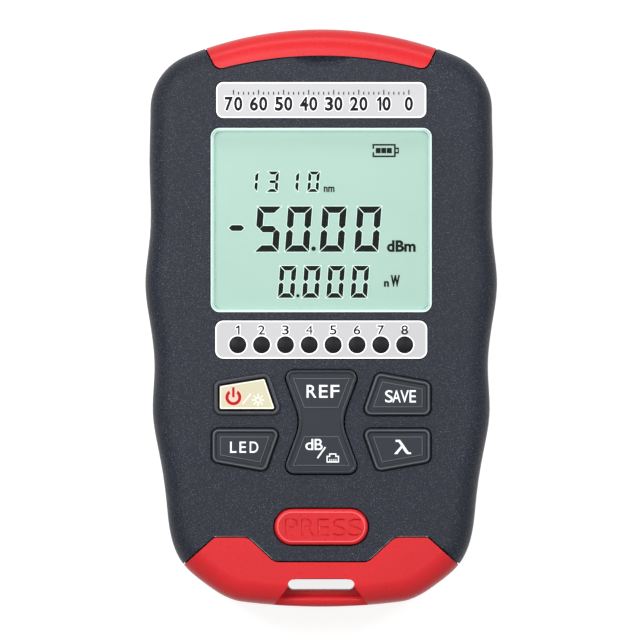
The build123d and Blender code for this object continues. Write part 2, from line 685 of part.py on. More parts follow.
def rocker_plate_plan():
    """Outline of the raised plate on the upper half of the rocker."""
    corners = (
        (ROCKER_PLATE_WIDE_X, ROCKER_PLATE_FAR_Y),
        (ROCKER_PLATE_NARROW_X, ROCKER_PLATE_NEAR_Y),
        (-ROCKER_PLATE_NARROW_X, ROCKER_PLATE_NEAR_Y),
        (-ROCKER_PLATE_WIDE_X, ROCKER_PLATE_FAR_Y),
    )
    plan = Polygon(*corners, align=None)
    return fillet(plan.vertices(), KEY_CORNER_RADIUS / 2)


def reference_key():
    """Hourglass rocker with two raised plates and moulded trunnions."""
    plan = rocker_plan()
    low = FRONT_INNER_Z - 2 * TRUNNION_RADIUS
    pad_z = KEY_TOP_Z - ROCKER_PLATE_PROUD
    body = slab(plan, low, pad_z)
    body = fillet(body.faces().sort_by(Axis.Z)[-1].edges(), KEY_EDGE)
    plate = slab(rocker_plate_plan(), pad_z, KEY_TOP_Z)
    plate = chamfer(plate.faces().sort_by(Axis.Z)[-1].edges(), KEY_EDGE / 2)
    key_form = body + plate + mirror(plate, Plane.XZ)
    key_form += rod_x(-TRUNNION_REACH, TRUNNION_REACH, 0, TRUNNION_Z, TRUNNION_RADIUS)
    return Pos(0, KEYPAD_Y, 0) * key_form


def dome_places():
    """Where the six contact domes press up under the keys."""
    x = (KEY_INNER_TOP_X + KEY_OUTER_X) / 2
    y = (KEY_NEAR_Y + KEY_OUTER_TOP_Y) / 2
    rocker_y = (ROCKER_PLATE_FAR_Y + ROCKER_PLATE_NEAR_Y) / 2
    sides = [(-x, y), (x, y), (-x, -y), (x, -y)]
    return sides, [(0, rocker_y), (0, -rocker_y)]


def keypad_mat():
    """Silicone mat on the board with a dome under each key."""
    top = KEYPAD_Y + KEY_INNER_TOP_Y
    low = BOARD_BOTTOM_Y + KEY_CLEARANCE
    width = 2 * (KEY_OUTER_X + KEY_FLANGE)
    sheet = Pos(0, (top + low) / 2) * RectangleRounded(width, top - low, KEY_CORNER_RADIUS)
    mat = slab(sheet, BOARD_TOP_Z, BOARD_TOP_Z + MAT_THICKNESS)
    sides, middle = dome_places()
    flange_z = KEY_FLANGE_TOP_Z - KEY_FLANGE_THICKNESS
    power_z = FRONT_INNER_Z - FIT - KEY_CLEARANCE - 2 * KEY_FLANGE_THICKNESS
    tops = [power_z, flange_z, flange_z, flange_z]
    rocker_z = FRONT_INNER_Z - 2 * TRUNNION_RADIUS
    for (x, y), top_z in zip(sides + middle, tops + [rocker_z] * 2):
        height = top_z - KEY_CLEARANCE - BOARD_TOP_Z
        dome = Cone(DOME_RADIUS + MAT_THICKNESS, DOME_RADIUS, height)
        mat += Pos(x, KEYPAD_Y + y, BOARD_TOP_Z + height / 2) * dome
    return mat


def release_button():
    """Button with a softened edge, a flange and the hook that holds the remote."""
    top = THICKNESS + BUTTON_PROUD
    body = slab(button_plan(), BUTTON_FLANGE_Z, top)
    body = fillet(body.faces().sort_by(Axis.Z)[-1].edges(), BUTTON_EDGE)
    flange_low = BUTTON_FLANGE_Z - BUTTON_FLANGE_THICKNESS
    body += slab(button_plan(BUTTON_FLANGE), flange_low, BUTTON_FLANGE_Z)
    hook_low = DOCK_ROOF_Z + BUTTON_TRAVEL
    return body + block(-HOOK_WIDTH / 2, HOOK_WIDTH / 2, BUTTON_Y - HOOK_THICKNESS / 2,
                        BUTTON_Y + HOOK_THICKNESS / 2, hook_low, flange_low)


def coil(radius, wire, turns, height):
    """A coil spring standing on its end, with its wire just inside both ends."""
    rise = height - 2 * wire
    path = Helix(pitch=rise / turns, height=rise, radius=radius)
    section = Plane(origin=path @ 0, z_dir=path % 0) * Circle(wire)
    return Pos(0, 0, wire) * sweep(section, path=path, is_frenet=True)


def release_springs():
    """The two coil springs that lift the button."""
    low = DOCK_ROOF_Z + DOCK_ROOF + FIT
    high = BUTTON_FLANGE_Z - BUTTON_FLANGE_THICKNESS - FIT
    spring = coil(RELEASE_SPRING_RADIUS, RELEASE_WIRE_RADIUS, 2.5, high - low)
    left = Pos(-RELEASE_SPRING_X, BUTTON_Y, low) * spring
    right = Pos(RELEASE_SPRING_X, BUTTON_Y, low) * spring
    return Compound([left, right])


@cache
def remote_body():
    """Both halves of the remote's casing in one, with spigot, slot and scoop."""
    tall = (-SKY, THICKNESS + SKY)
    shell = envelope() & slab(remote_plan(), *tall)
    shell -= envelope(REMOTE_WALL) & slab(remote_plan(-REMOTE_WALL), *tall)

    # Spigot around the socket
    valley = BOTTOM_Y + REMOTE_VALLEY
    jack_x = JACK_WIDTH / 2 + FIT
    jack_low = SPIGOT_LOW_Z + SPIGOT_WALL
    jack_high = SPIGOT_HIGH_Z - SPIGOT_WALL
    shell += block(-SPIGOT_HALF_WIDTH, SPIGOT_HALF_WIDTH, valley - REMOTE_WALL, SPIGOT_TOP_Y,
                   SPIGOT_LOW_Z, SPIGOT_HIGH_Z)
    shell -= block(-jack_x, jack_x, valley - REMOTE_WALL - FIT, SPIGOT_TOP_Y, jack_low, jack_high)

    # Solid foot, scooped at the front down to a bar that a lanyard goes round
    foot = slab(scoop_plan(REMOTE_WALL), *tall) & envelope()
    shell += foot
    shell -= slab(scoop_plan(), THICKNESS - SCOOP_DEPTH, THICKNESS + SKY)
    slot_y = BOTTOM_Y + LANYARD_SLOT_RISE
    floor_low = BOTTOM_Y + 2 * LANYARD_BAR_RADIUS - SEAM
    shell -= slab(scoop_plan(), THICKNESS - SCOOP_FLOOR_DEPTH, THICKNESS + SKY) & \
        block(-FAR, FAR, floor_low, slot_y, 0, THICKNESS + SKY)
    slot = Pos(0, slot_y) * SlotOverall(LANYARD_SLOT_LENGTH, LANYARD_SLOT_WIDTH)
    shell -= slab(slot, *tall)
    bar = rod_x(-SCOOP_FOOT_X, SCOOP_FOOT_X, BOTTOM_Y + LANYARD_BAR_RADIUS + SEAM / 2,
                THICKNESS - SCOOP_DEPTH, LANYARD_BAR_RADIUS)
    return shell + (bar & slab(scoop_plan(REMOTE_WALL), *tall) & envelope())


def scoop_plan(grow=0.0):
    """Arch-shaped plan of the lanyard scoop, open beyond the foot."""
    top = BOTTOM_Y + SCOOP_RISE
    corners = (
        (-SCOOP_TOP_X, top),
        (SCOOP_TOP_X, top),
        (SCOOP_FOOT_X, BOTTOM_Y - WALL),
        (-SCOOP_FOOT_X, BOTTOM_Y - WALL),
    )
    plan = Polygon(*corners, align=None)
    plan = fillet(plan.vertices().group_by(Axis.Y)[-1], LANYARD_SLOT_WIDTH)
    return offset(plan, grow) if grow else plan


def remote_half(front):
    """One half of the remote's casing."""
    z0, z1 = (PARTING_Z, THICKNESS + SKY) if front else (-SKY, PARTING_Z)
    return remote_body() & block(-FAR, FAR, -FAR, FAR, z0, z1)


def socket_block(length):
    """Eight-way network socket: mouth at Y 0, standing on Z 0."""
    body = block(-JACK_WIDTH / 2, JACK_WIDTH / 2, -length, 0, 0, JACK_HEIGHT)
    mouth_x = JACK_MOUTH_WIDTH / 2
    catch_x = JACK_CATCH_WIDTH / 2
    mouth_top = JACK_MOUTH_FLOOR + JACK_MOUTH_HEIGHT
    body -= block(-mouth_x, mouth_x, -JACK_MOUTH_DEPTH, SKY, JACK_MOUTH_FLOOR, mouth_top)
    body -= block(-catch_x, catch_x, -JACK_MOUTH_DEPTH, SKY, mouth_top,
                  mouth_top + JACK_CATCH_HEIGHT)
    comb = [x * 1.02 for x in (-3.5, -2.5, -1.5, -0.5, 0.5, 1.5, 2.5, 3.5)]
    for x in comb:
        body += block(x - 0.2, x + 0.2, -JACK_MOUTH_DEPTH, -JACK_MOUTH_DEPTH / 3,
                      JACK_MOUTH_FLOOR, JACK_MOUTH_FLOOR + 1)
    return body


def network_jack():
    """Socket under the board, its mouth in the port bay."""
    z = BOARD_BOTTOM_Z - JACK_HEIGHT
    return Pos(NETWORK_JACK_X, PANEL_Y + PANEL_THICKNESS, z) * socket_block(NETWORK_JACK_LENGTH)


def remote_jack():
    """Socket in the remote's spigot."""
    z = SPIGOT_LOW_Z + SPIGOT_WALL + FIT
    return Pos(0, SPIGOT_TOP_Y - SEAM, z) * socket_block(REMOTE_JACK_LENGTH)


def remote_board():
    """Small board standing behind the remote's socket."""
    y = SPIGOT_TOP_Y - SEAM - REMOTE_JACK_LENGTH
    z = SPIGOT_LOW_Z + SPIGOT_WALL
    half = JACK_WIDTH / 2 - SEAM
    return block(-half, half, y - BOARD_THICKNESS, y, z + 1, z + JACK_HEIGHT - 1)


def port_panel():
    """Panel at the bottom of the port bay, pierced for sockets and lamp."""
    half = BAY_HALF_WIDTH - FIT
    panel = block(-half, half, PANEL_Y - PANEL_THICKNESS, PANEL_Y, WALL, FRONT_INNER_Z)
    jack_x = JACK_WIDTH / 2 + FIT
    jack_z = BOARD_BOTTOM_Z - JACK_HEIGHT - FIT
    panel -= block(NETWORK_JACK_X - jack_x, NETWORK_JACK_X + jack_x, 0, TOP_Y,
                   jack_z, BOARD_BOTTOM_Z + FIT)
    for x, radius in ((OPTICAL_X, ADAPTER_RADIUS), (TORCH_X, TORCH_RADIUS)):
        hole = Pos(x, PANEL_Y, PORT_Z) * Rot(90, 0, 0) * Cylinder(radius + FIT, SKY)
        panel -= hole
    return panel


def optical_adapter():
    """Flanged metal adapter with the ferrule bore and a seat for the detector."""
    seat = DETECTOR_RADIUS + 4 * FIT
    back = -PANEL_THICKNESS - DETECTOR_LENGTH
    profile = (
        (seat, back),
        (ADAPTER_RADIUS, back),
        (ADAPTER_RADIUS, 0),
        (ADAPTER_FLANGE_RADIUS, 0),
        (ADAPTER_FLANGE_RADIUS, 1.4),
        (ADAPTER_RADIUS, 1.4),
        (ADAPTER_RADIUS, ADAPTER_REACH - 0.5),
        (ADAPTER_RADIUS - 0.5, ADAPTER_REACH),
        (FERRULE_BORE_RADIUS, ADAPTER_REACH),
        (FERRULE_BORE_RADIUS, -PANEL_THICKNESS),
        (seat, -PANEL_THICKNESS),
    )
    return Pos(OPTICAL_X, 0, PORT_Z) * turned_along_y(profile, PANEL_Y)


def detector():
    """Detector can in the back of the adapter, with its two leads."""
    profile = (
        (0, 0),
        (DETECTOR_RADIUS - 0.4, 0),
        (DETECTOR_RADIUS - 0.4, -DETECTOR_LENGTH + 0.5),
        (DETECTOR_RADIUS, -DETECTOR_LENGTH + 0.5),
        (DETECTOR_RADIUS, -DETECTOR_LENGTH),
        (0, -DETECTOR_LENGTH),
    )
    can = turned_along_y(profile, PANEL_Y - PANEL_THICKNESS - FIT)
    lead = Pos(1, PANEL_Y - PANEL_THICKNESS - DETECTOR_LENGTH - 2, 0) * \
        Rot(90, 0, 0) * Cylinder(0.25, 4)
    return Pos(OPTICAL_X, 0, PORT_Z) * (can + both_sides(lead))


def torch_led():
    """Torch lamp behind the panel, its dome just proud in the bay."""
    profile = (
        (0, -7.0),
        (TORCH_RADIUS + 0.4, -7.0),
        (TORCH_RADIUS + 0.4, -6.0),
        (TORCH_RADIUS, -6.0),
        (TORCH_RADIUS, 0),
        (0, 0),
    )
    lamp = turned_along_y(profile, PANEL_Y) + Pos(0, PANEL_Y, 0) * Sphere(TORCH_RADIUS)
    return Pos(TORCH_X, 0, PORT_Z) * lamp


def main_board():
    """Circuit board, cleared round the screw bosses."""
    plan = Pos(0, (BOARD_TOP_Y + BOARD_BOTTOM_Y) / 2) * \
        RectangleRounded(2 * BOARD_HALF_WIDTH, BOARD_TOP_Y - BOARD_BOTTOM_Y, BOARD_CORNER_RADIUS)
    board = slab(plan, BOARD_BOTTOM_Z, BOARD_TOP_Z)
    for x, y in screw_places():
        board -= post(x, y, 0, THICKNESS, BOSS_RADIUS + SLIDE_CLEARANCE)
    for x, y in post_places():
        board -= post(x, y, 0, THICKNESS, BOARD_SCREW_RADIUS + FIT)
    return board


def board_screws():
    """The four small screws that hold the board to its posts."""
    screws = []
    for x, y in post_places():
        head = post(x, y, BOARD_BOTTOM_Z - 1, BOARD_BOTTOM_Z, 1.6)
        screws.append(head + post(x, y, BOARD_BOTTOM_Z, BOARD_TOP_Z + 3, BOARD_SCREW_RADIUS - FIT))
    return Compound(screws)


def processor():
    """Processor on the back of the board."""
    chip = block(-5, 5, -13, -3, BOARD_BOTTOM_Z - 1.5, BOARD_BOTTOM_Z - 0.1)
    for side in range(4):
        for pin in range(-4, 5):
            leg = block(5, 6, pin - 0.15, pin + 0.15, BOARD_BOTTOM_Z - 0.6, BOARD_BOTTOM_Z)
            chip += Pos(0, -8, 0) * Rot(0, 0, 90 * side) * leg
    return chip


def buzzer():
    """Round sounder on the back of the board."""
    body = post(-24.2, 8, BOARD_BOTTOM_Z - 3.6, BOARD_BOTTOM_Z, 4.6)
    return body - post(-24.2, 8, BOARD_BOTTOM_Z - 3.6, BOARD_BOTTOM_Z - 3, 0.8)


def cell_places():
    """X of each battery."""
    first = -CELL_PITCH * (CELL_COUNT - 1) / 2
    return [first + CELL_PITCH * number for number in range(CELL_COUNT)]


def battery(number):
    """One cell, turned end for end from its neighbour."""
    half = CELL_LENGTH / 2
    radius = CELL_DIAMETER / 2
    profile = (
        (0, -half),
        (radius - 0.8, -half),
        (radius, -half + 0.8),
        (radius, half - 2.0),
        (radius - 1.0, half - 1.2),
        (2.0, half - 1.2),
        (2.0, half),
        (0, half),
    )
    turn = 180 * (number % 2)
    cell = Rot(0, 0, turn) * turned_along_y(profile, 0)
    return Pos(cell_places()[number], CELL_Y, CELL_Z) * cell


def contact_plates():
    """Contact plates at both ends of the battery bay."""
    half = DOOR_HALF_WIDTH - KEY_CLEARANCE
    low_z = WALL + TAB_THICKNESS + 1.4
    plates = []
    for y in (BAY_LOW_Y, BAY_HIGH_Y - CONTACT_THICKNESS):
        plates.append(block(-half, half, y, y + CONTACT_THICKNESS, low_z, BAY_CEILING_Z - FIT))
    return Compound(plates)


def battery_springs():
    """A coil spring at the flat end of each cell."""
    room = CONTACT_ROOM - CONTACT_THICKNESS - 2 * FIT
    springs = []
    for number, x in enumerate(cell_places()):
        spring = coil(BATTERY_SPRING_RADIUS, BATTERY_WIRE_RADIUS, 2.0, room)
        if number % 2:
            y = BAY_HIGH_Y - CONTACT_THICKNESS - FIT
            springs.append(Pos(x, y, CELL_Z) * Rot(90, 0, 0) * spring)
        else:
            y = BAY_LOW_Y + CONTACT_THICKNESS + FIT
            springs.append(Pos(x, y, CELL_Z) * Rot(-90, 0, 0) * spring)
    return Compound(springs)


def battery_door():
    """Door flush with the back: hooks at the lower edge, thumb tab at the upper."""
    half = DOOR_HALF_WIDTH - KEY_CLEARANCE
    low = BAY_LOW_Y + KEY_CLEARANCE
    high = BAY_HIGH_Y - KEY_CLEARANCE
    door = block(-half, half, low, high, 0, DOOR_THICKNESS)
    corners = door.edges().filter_by(Axis.Z)
    door = fillet(corners, KEY_CLEARANCE)
    for x in (-TAB_X, TAB_X):
        door += block(x - TAB_WIDTH / 2, x + TAB_WIDTH / 2, low - TAB_REACH, low + WALL,
                      WALL + KEY_CLEARANCE / 2, WALL + KEY_CLEARANCE / 2 + TAB_THICKNESS)
        door += block(x - TAB_WIDTH / 2, x + TAB_WIDTH / 2, low, low + WALL,
                      DOOR_THICKNESS / 2, WALL + KEY_CLEARANCE)
    door += block(-TAB_WIDTH, TAB_WIDTH, high - WALL, high + CELL_BAY_WALL, 0,
                  WALL / 2 - KEY_CLEARANCE)
    for row in range(5):
        y = high - 3 - 1.6 * row
        door -= rod_x(-TAB_WIDTH, TAB_WIDTH, y, 0, 0.4)
    return door


def case_screws():
    """The four screws that close the housing, with cross recesses."""
    screws = []
    for x, y in screw_places():
        head = post(x, y, SCREW_SINK - SCREW_HEAD_HEIGHT, SCREW_SINK, SCREW_HEAD_RADIUS)
        head -= Pos(x, y, SCREW_SINK - SCREW_HEAD_HEIGHT) * (Box(2.6, 0.6, 1.4) + Box(0.6, 2.6, 1.4))
        shank = post(x, y, SCREW_SINK, SCREW_SINK + SCREW_LENGTH, SCREW_RADIUS - 2 * FIT)
        screws.append(head + shank)
    return Compound(screws)


def build_parts():
    """Every piece by name."""
    housing = hollow_housing()
    parts = {
        "front_shell": front_shell(housing),
        "rear_shell": rear_shell(housing),
        "dust_cover": dust_cover(),
        "dust_cover_pin": dust_cover_pin(),
        "name_plate": name_plate(),
        "display_window": display_window(),
        "lcd_panel": lcd_panel(),
        "lcd_backlight": lcd_backlight(),
        "lcd_frame": lcd_frame(),
        "indicator_plate": indicator_plate(),
        "power_ring": power_ring(),
        "power_key": power_key(),
        "torch_key": key(key_place(right=False, upper=False)),
        "save_key": key(key_place(right=True, upper=True)),
        "wavelength_key": key(key_place(right=True, upper=False)),
        "reference_key": reference_key(),
        "keypad_mat": keypad_mat(),
        "release_button": release_button(),
        "release_springs": release_springs(),
        "remote_front_shell": remote_half(front=True),
        "remote_rear_shell": remote_half(front=False),
        "remote_jack": remote_jack(),
        "remote_board": remote_board(),
        "network_jack": network_jack(),
        "port_panel": port_panel(),
        "optical_adapter": optical_adapter(),
        "detector": detector(),
        "torch_led": torch_led(),
        "main_board": main_board(),
        "board_screws": board_screws(),
        "processor": processor(),
        "buzzer": buzzer(),
        "contact_plates": contact_plates(),
        "battery_springs": battery_springs(),
        "battery_door": battery_door(),
        "case_screws": case_screws(),
    }
    for number, x in enumerate(lamp_places(), start=1):
        parts[f"indicator_led_{number}"] = indicator_lamp(x)
    for number in range(CELL_COUNT):
        parts[f"battery_{number + 1}"] = battery(number)
    return parts


for name, solid in build_parts().items():
    export_step(solid, f"parts/{name}.step")
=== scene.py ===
from math import cos, pi, radians, sin, tan

import bmesh
import bpy
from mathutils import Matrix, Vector


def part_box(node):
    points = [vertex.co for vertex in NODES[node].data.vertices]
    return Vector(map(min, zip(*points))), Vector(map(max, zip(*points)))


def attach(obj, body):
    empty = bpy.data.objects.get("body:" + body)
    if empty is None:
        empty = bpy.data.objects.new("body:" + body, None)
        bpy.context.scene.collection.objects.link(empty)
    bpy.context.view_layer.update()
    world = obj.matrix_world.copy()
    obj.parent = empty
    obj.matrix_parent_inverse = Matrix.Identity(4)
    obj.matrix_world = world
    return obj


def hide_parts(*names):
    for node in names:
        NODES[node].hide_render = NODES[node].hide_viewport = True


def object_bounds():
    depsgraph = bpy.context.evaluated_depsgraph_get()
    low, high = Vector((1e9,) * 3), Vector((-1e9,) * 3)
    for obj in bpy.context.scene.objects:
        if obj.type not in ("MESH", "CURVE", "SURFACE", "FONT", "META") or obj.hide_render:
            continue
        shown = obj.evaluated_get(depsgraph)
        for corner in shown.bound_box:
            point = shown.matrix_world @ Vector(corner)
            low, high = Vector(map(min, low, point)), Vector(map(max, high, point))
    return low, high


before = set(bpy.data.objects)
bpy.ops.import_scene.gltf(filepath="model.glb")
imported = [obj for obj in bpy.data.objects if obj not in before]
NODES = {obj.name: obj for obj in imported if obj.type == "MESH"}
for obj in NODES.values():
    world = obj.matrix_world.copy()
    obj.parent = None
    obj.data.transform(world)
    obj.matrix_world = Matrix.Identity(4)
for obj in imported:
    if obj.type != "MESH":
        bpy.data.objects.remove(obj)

# Looks of a hand-held optical power meter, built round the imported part.
# Places and sizes are in millimetres unless a comment says otherwise.
CAD_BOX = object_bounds()
MM = 0.001


def span(node):
    """Lowest and highest corner of a CAD node, in millimetres."""
    low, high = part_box(node)
    return low / MM, high / MM


WINDOW_LOW, WINDOW_HIGH = span("display_window")
WINDOW_MIDDLE = (WINDOW_LOW + WINDOW_HIGH) / 2
FRONT_Z = WINDOW_HIGH.z
LCD_Z = span("lcd_panel")[1].z
NAME_LOW, NAME_HIGH = span("name_plate")
NAME_MIDDLE = (NAME_LOW + NAME_HIGH) / 2
LAMP_PLATE_LOW, LAMP_PLATE_HIGH = span("indicator_plate")
LAMP_PLATE_MIDDLE = (LAMP_PLATE_LOW + LAMP_PLATE_HIGH) / 2
LAMP_NODES = sorted(name for name in NODES if name.startswith("indicator_led_"))
KEY_TOP_Z = span("save_key")[1].z
BUTTON_TOP_Z = span("release_button")[1].z

# Print and painted highlight lines
PRINT = 0.02
PRINT_LIFT = 0.01
FONT_HEIGHT = 0.72
ARC_STEPS = 10
LEAST_RADIUS = 0.05
HAIR = 0.01
FINE = 0.001
WELD = 1e-6

# Window and plates
WINDOW_RADIUS = 1.85
WINDOW_EDGE = 0.15
# Width of the glowing painted highlight line round the window's edge
WINDOW_HIGHLIGHT_WIDTH = 0.3
WINDOW_LEDGE = 0.62
DISPLAY_SLOPE = 0.85
# Height of that painted highlight above the window's floor
HIGHLIGHT_LIFT = 0.005
NAME_RADIUS = 1.5
LAMP_PLATE_RADIUS = 1.7
# Width of the painted highlight along each plate's edge
PLATE_HIGHLIGHT_WIDTH = 0.3
PLATE_GAP = 0.2
PLATE_GAP_DEPTH = 0.8
LAMP_HOLE_RADIUS = 1.785
LAMP_LENS_RADIUS = 1.74
LAMP_LENS_SINK = 0.3
LAMP_LENS_THICKNESS = 0.7
LAMP_LENS_EDGE = ((0.12, 0), (0.03, 0.04), (0, 0.12))
LAMP_BODY_RADIUS = 1.5
LAMP_FOOT_RADIUS = 1.85
LAMP_FOOT_HEIGHT = 1.0
LAMP_RING_WIDTH = 0.24
LAMP_NUMBER_HEIGHT = 1.94
LAMP_NUMBER_Y = -3.46
LAMP_NUMBER_WIDTH = 1.42
LAMP_NUMBER_LINE = 0.34
LAMP_NUMBER_WEIGHT = 0.012
LAMP_FOUR_WEIGHT = -0.002  # a heavier 4 fills in
NUMBER_HALO = 0.16

# Scale on the plate above the display
SCALE_NUMBERS = (70, 60, 50, 40, 30, 20, 10, 0)
SCALE_WIDTH = 36.4
SCALE_NUMBER_HEIGHT = 2.95
SCALE_DIGIT_WIDTH = 1.72
SCALE_NUMBER_LINE = 0.5
SCALE_NUMBER_WEIGHT = 0.035
SCALE_TICKS = 5
ONE_WIDTH = 0.55
ONE_TOP = 0.8
ONE_FLAG = (0.2, 0.13, 0.85)
DIGIT_GAP = 0.12
SCALE_NUMBER_LOW_Y = 43.0
SCALE_TICK_Y = 46.35
SCALE_LONG_TICK = 1.0
SCALE_SHORT_TICK = 0.6
SCALE_TICK_WIDTH = 0.22

# Figures on the display: (figure, left edge), then baseline, width, height, stroke
FIGURE_LEAN = tan(radians(4.2))
FIGURE_GAP = 0.08
FIGURE_SIDE_GAP = 1.6
FIGURE_LIFT = 0.04
HALO = 0.1
HALO_STEP = 0.0004
HALO_STEPS = 7
FIGURE_ROWS = (
    ((("1", -15.65), ("3", -11.41), ("1", -7.17), ("0", -2.93)), (26.16, 2.36, 4.28, 0.66)),
    ((("5", -13.9), ("0", -7.56), ("0", -0.39), ("0", 6.83)), (13.74, 5.02, 9.45, 1.38)),
    ((("0", -9.03), ("0", -3.99), ("0", 1.02), ("0", 6.08)), (4.17, 3.44, 6.68, 1.0)),
)
POINTS = ((-1.58, 14.4, 0.46), (-4.84, 4.62, 0.34))
MINUS_BOX = (-19.22, 18.08, -15.96, 19.31)
UNIT_BOXES = {
    "nm": (0.54, 26.16, 2.76, 27.3, 0.03),
    "dBm": (13.66, 13.74, 19.62, 16.15, 0.036),
    "n": (13.04, 6.48, 14.08, 7.68, 0.045),
    "W": (14.43, 6.48, 16.36, 8.93, 0.06),
}
BATTERY_MARK = (10.65, 33.4, 15.47, 36.14)
BATTERY_MARK_LINE = 0.34
BATTERY_MARK_BARS = 3
BATTERY_MARK_BAR = 0.88
BATTERY_MARK_ROOM = (2, 2.4)
BATTERY_MARK_HOOK = 1.0
BATTERY_MARK_NUB = (0.75, 0.66, 0.24)

# Words: low and high edge, then each letter with its left and right edge
REF_WORD = (-16.55, -13.9, (("R", -3.03, -0.98), ("E", -0.44, 1.35), ("F", 1.95, 3.76)))
DB_WORD = (-27.4, -25.1, (("d", -3.28, -1.64), ("B", -1.37, 0.29)))
SAVE_WORD = (-17.54, -14.99, (("S", 13.27, 14.86), ("A", 14.78, 16.5), ("V", 16.44, 18.17),
                              ("E", 18.33, 19.66)))
LED_WORD = (-27.98, -25.66, (("L", -18.92, -17.59), ("E", -16.96, -15.6), ("D", -14.84, -13.06)))
BUTTON_WORD = (-45.24, -41.65, (("P", -7.42, -4.78), ("R", -4.1, -1.31), ("E", -0.74, 1.64),
                                ("S", 2.47, 5.22), ("S", 5.6, 8.54)))
BUTTON_WORD_DEPTH = 0.14
BUTTON_WORD_WEIGHT = -0.014
LEGEND_WEIGHT = 0.006
DB_STROKE = ((-0.78, -29.1), (0.86, -26.8), 0.3)
SOCKET_MARK_BOX = (1.1, -30.0, 3.7, -28.1)
SOCKET_MARK_LINE = 0.24
SOCKET_MARK_NECK = (0.75, 0.5)
SOCKET_PINS = 4
SOCKET_PIN = (0.38, 0.42, 0.16, 0.02, 0.5)
WAVE_MARK_LOW = (15.13, -28.25)
WAVE_MARK_HIGH = (18.64, -25.29)
WAVE_MARK_LEGS = (
    ((0.09, 1.0), (0.34, 1.0), (0.46, 0.82), (0.83, 0.18), (0.87, 0.12), (1.0, 0.12), (1.0, 0.0),
     (0.8, 0.0), (0.68, 0.08), (0.3, 0.79), (0.25, 0.86), (0.09, 0.86)),
    ((0.405, 0.575), (0.475, 0.44), (0.19, 0.0), (0.0, 0.0)),
)

# Marks on the power key
POWER_MARK = (-18.23, -16.46)
POWER_MARK_RADIUS = 1.65
POWER_MARK_STROKE = 0.64
POWER_MARK_GAP = 33
POWER_MARK_FLARE = 6
POWER_MARK_BAR = (0.25, 2.08)
POWER_MARK_HALO = 1.92
POWER_STROKE = ((-16.28, -17.83), (-14.59, -15.71), 0.22)
SUN_MARK = (-13.1, -17.04)
SUN_RINGS = (0.66, 0.42)
SUN_RAYS = 8
SUN_RAY = (0.82, 1.25, 0.22)
# Painted highlight round the cream cap's top: inner and outer inset of the pale line
CREAM_HIGHLIGHT = (0.04, 0.3)

# Keys by their corners, and beads as (inset, drop) points. ROCKER has x, y and corner radius.
POWER_KEY = ((-11.79, -12.65), (-21.05, -14.16), (-21.05, -18.9), (-9.67, -18.9))
POWER_KEY_CORNER = 0.3
POWER_KEY_EDGE = 0.1
POWER_RING_REACH = 1.25
POWER_BEZEL = ((0.0, 0.42), (0.03, 0.2), (0.12, 0.06), (0.28, 0.0), (0.6, 0.0), (0.75, 0.05),
               (0.83, 0.16), (0.85, 0.4))
POWER_HOLE_CLEARANCE = 0.06
COLLAR_DEPTH = 1.8
SHELL_KEY_HOLE = ((-11.5, -11.27), (-22.7, -13.27), (-22.7, -20.19), (-8.38, -20.19))
KEY_CORNER = 1.4
KEY_CLEARANCE = 0.32
BEAD = ((0.0, 0.5), (0.0, 0.13), (0.05, 0.04), (0.16, 0.0), (0.5, 0.0), (0.66, 0.06), (0.74, 0.5))
ROCKER = ((8.05, 10.75, 1.7), (4.14, 0.0, 8.0), (8.05, -10.75, 1.7))
ROCKER_MIDDLE_Y = -21.57
# Painted highlight: width of the pale line round the release button's top
BUTTON_HIGHLIGHT_WIDTH = 0.16
# Painted highlights: insets of the pale lines on each key rim
KEY_RIM_HIGHLIGHT = (0.3, 0.46)
KEY_PLATE_INSET = 1.68
ROCKER_PLATE = ((-5.87, -12.5), (5.87, -12.5), (3.55, -18.6), (-3.55, -18.6))
# Width of the painted highlight lines on the key plates
PAINTED_HIGHLIGHT_WIDTH = 0.13

# Dark webs behind the seams: ends of each, beside the remote and beside the cover
SEAM_WEBS = (((21.3, -44.63), (28.3, -50.94)), ((21.95, 51.5), (23.95, 55.5)))
WEB_THICKNESS = 0.14
WEB_LOW_Z = 6.5
WEB_HIGH_Z = 21.5
LIP_RADIUS = 82.6
LIP_MIDDLE_Y = -28.1
LIP_SPREAD = 14.2
LIP_LEDGE = (-1.5, 1.2)
LIP_LEDGE_Z = (24.6, 25.7)

# Springs in the mouths of the network sockets: back and front, low and high
CONTACTS = 8
CONTACT_PITCH = 1.02
CONTACT_WIDTH = 0.3
CONTACT_Y = (12.6, 4.2)
CONTACT_Z = (3.22, 3.5)

# Camera and light, in metres: each lamp's place, size, watts and target
PHOTO_WIDTH = 640 * 0.0002076
PHOTO_CENTRE = (-0.00025, -0.00042)
LENS = 1200.0
SENSOR = 36.0
ROOM_LIGHT = 0.45
LIGHTS = {
    "key_light": ((-0.09, 0.1, 0.3), (0.18, 0.18), 0.3, (0, 0, 0.02)),
    "end_light": ((0, 0.48, 0.215), (0.5, 0.1), 0.8, (0, 0.056, 0.026)),
    "left_light": ((-0.2, 0.08, 0.4), (0.07, 0.3), 0.8, (-0.033, 0.01, 0.024)),
    "right_light": ((0.2, 0.08, 0.4), (0.07, 0.3), 0.7, (0.033, 0.01, 0.024)),
}
FLOOR_SIZE = 6
FLOOR_DROP = 0.0002
FLOOR_GREY = 0.32
FLOOR_GLOW = 0.84

# Noise values between which a ramp runs
NOISE_LOW, NOISE_HIGH = 0.3, 0.7


def input_of(node, name):
    """The enabled socket of that name on a node."""
    return next(s for s in node.inputs if s.name == name and s.enabled)


def output_of(node, name):
    """The enabled output of that name on a node."""
    return next(s for s in node.outputs if s.name == name and s.enabled)


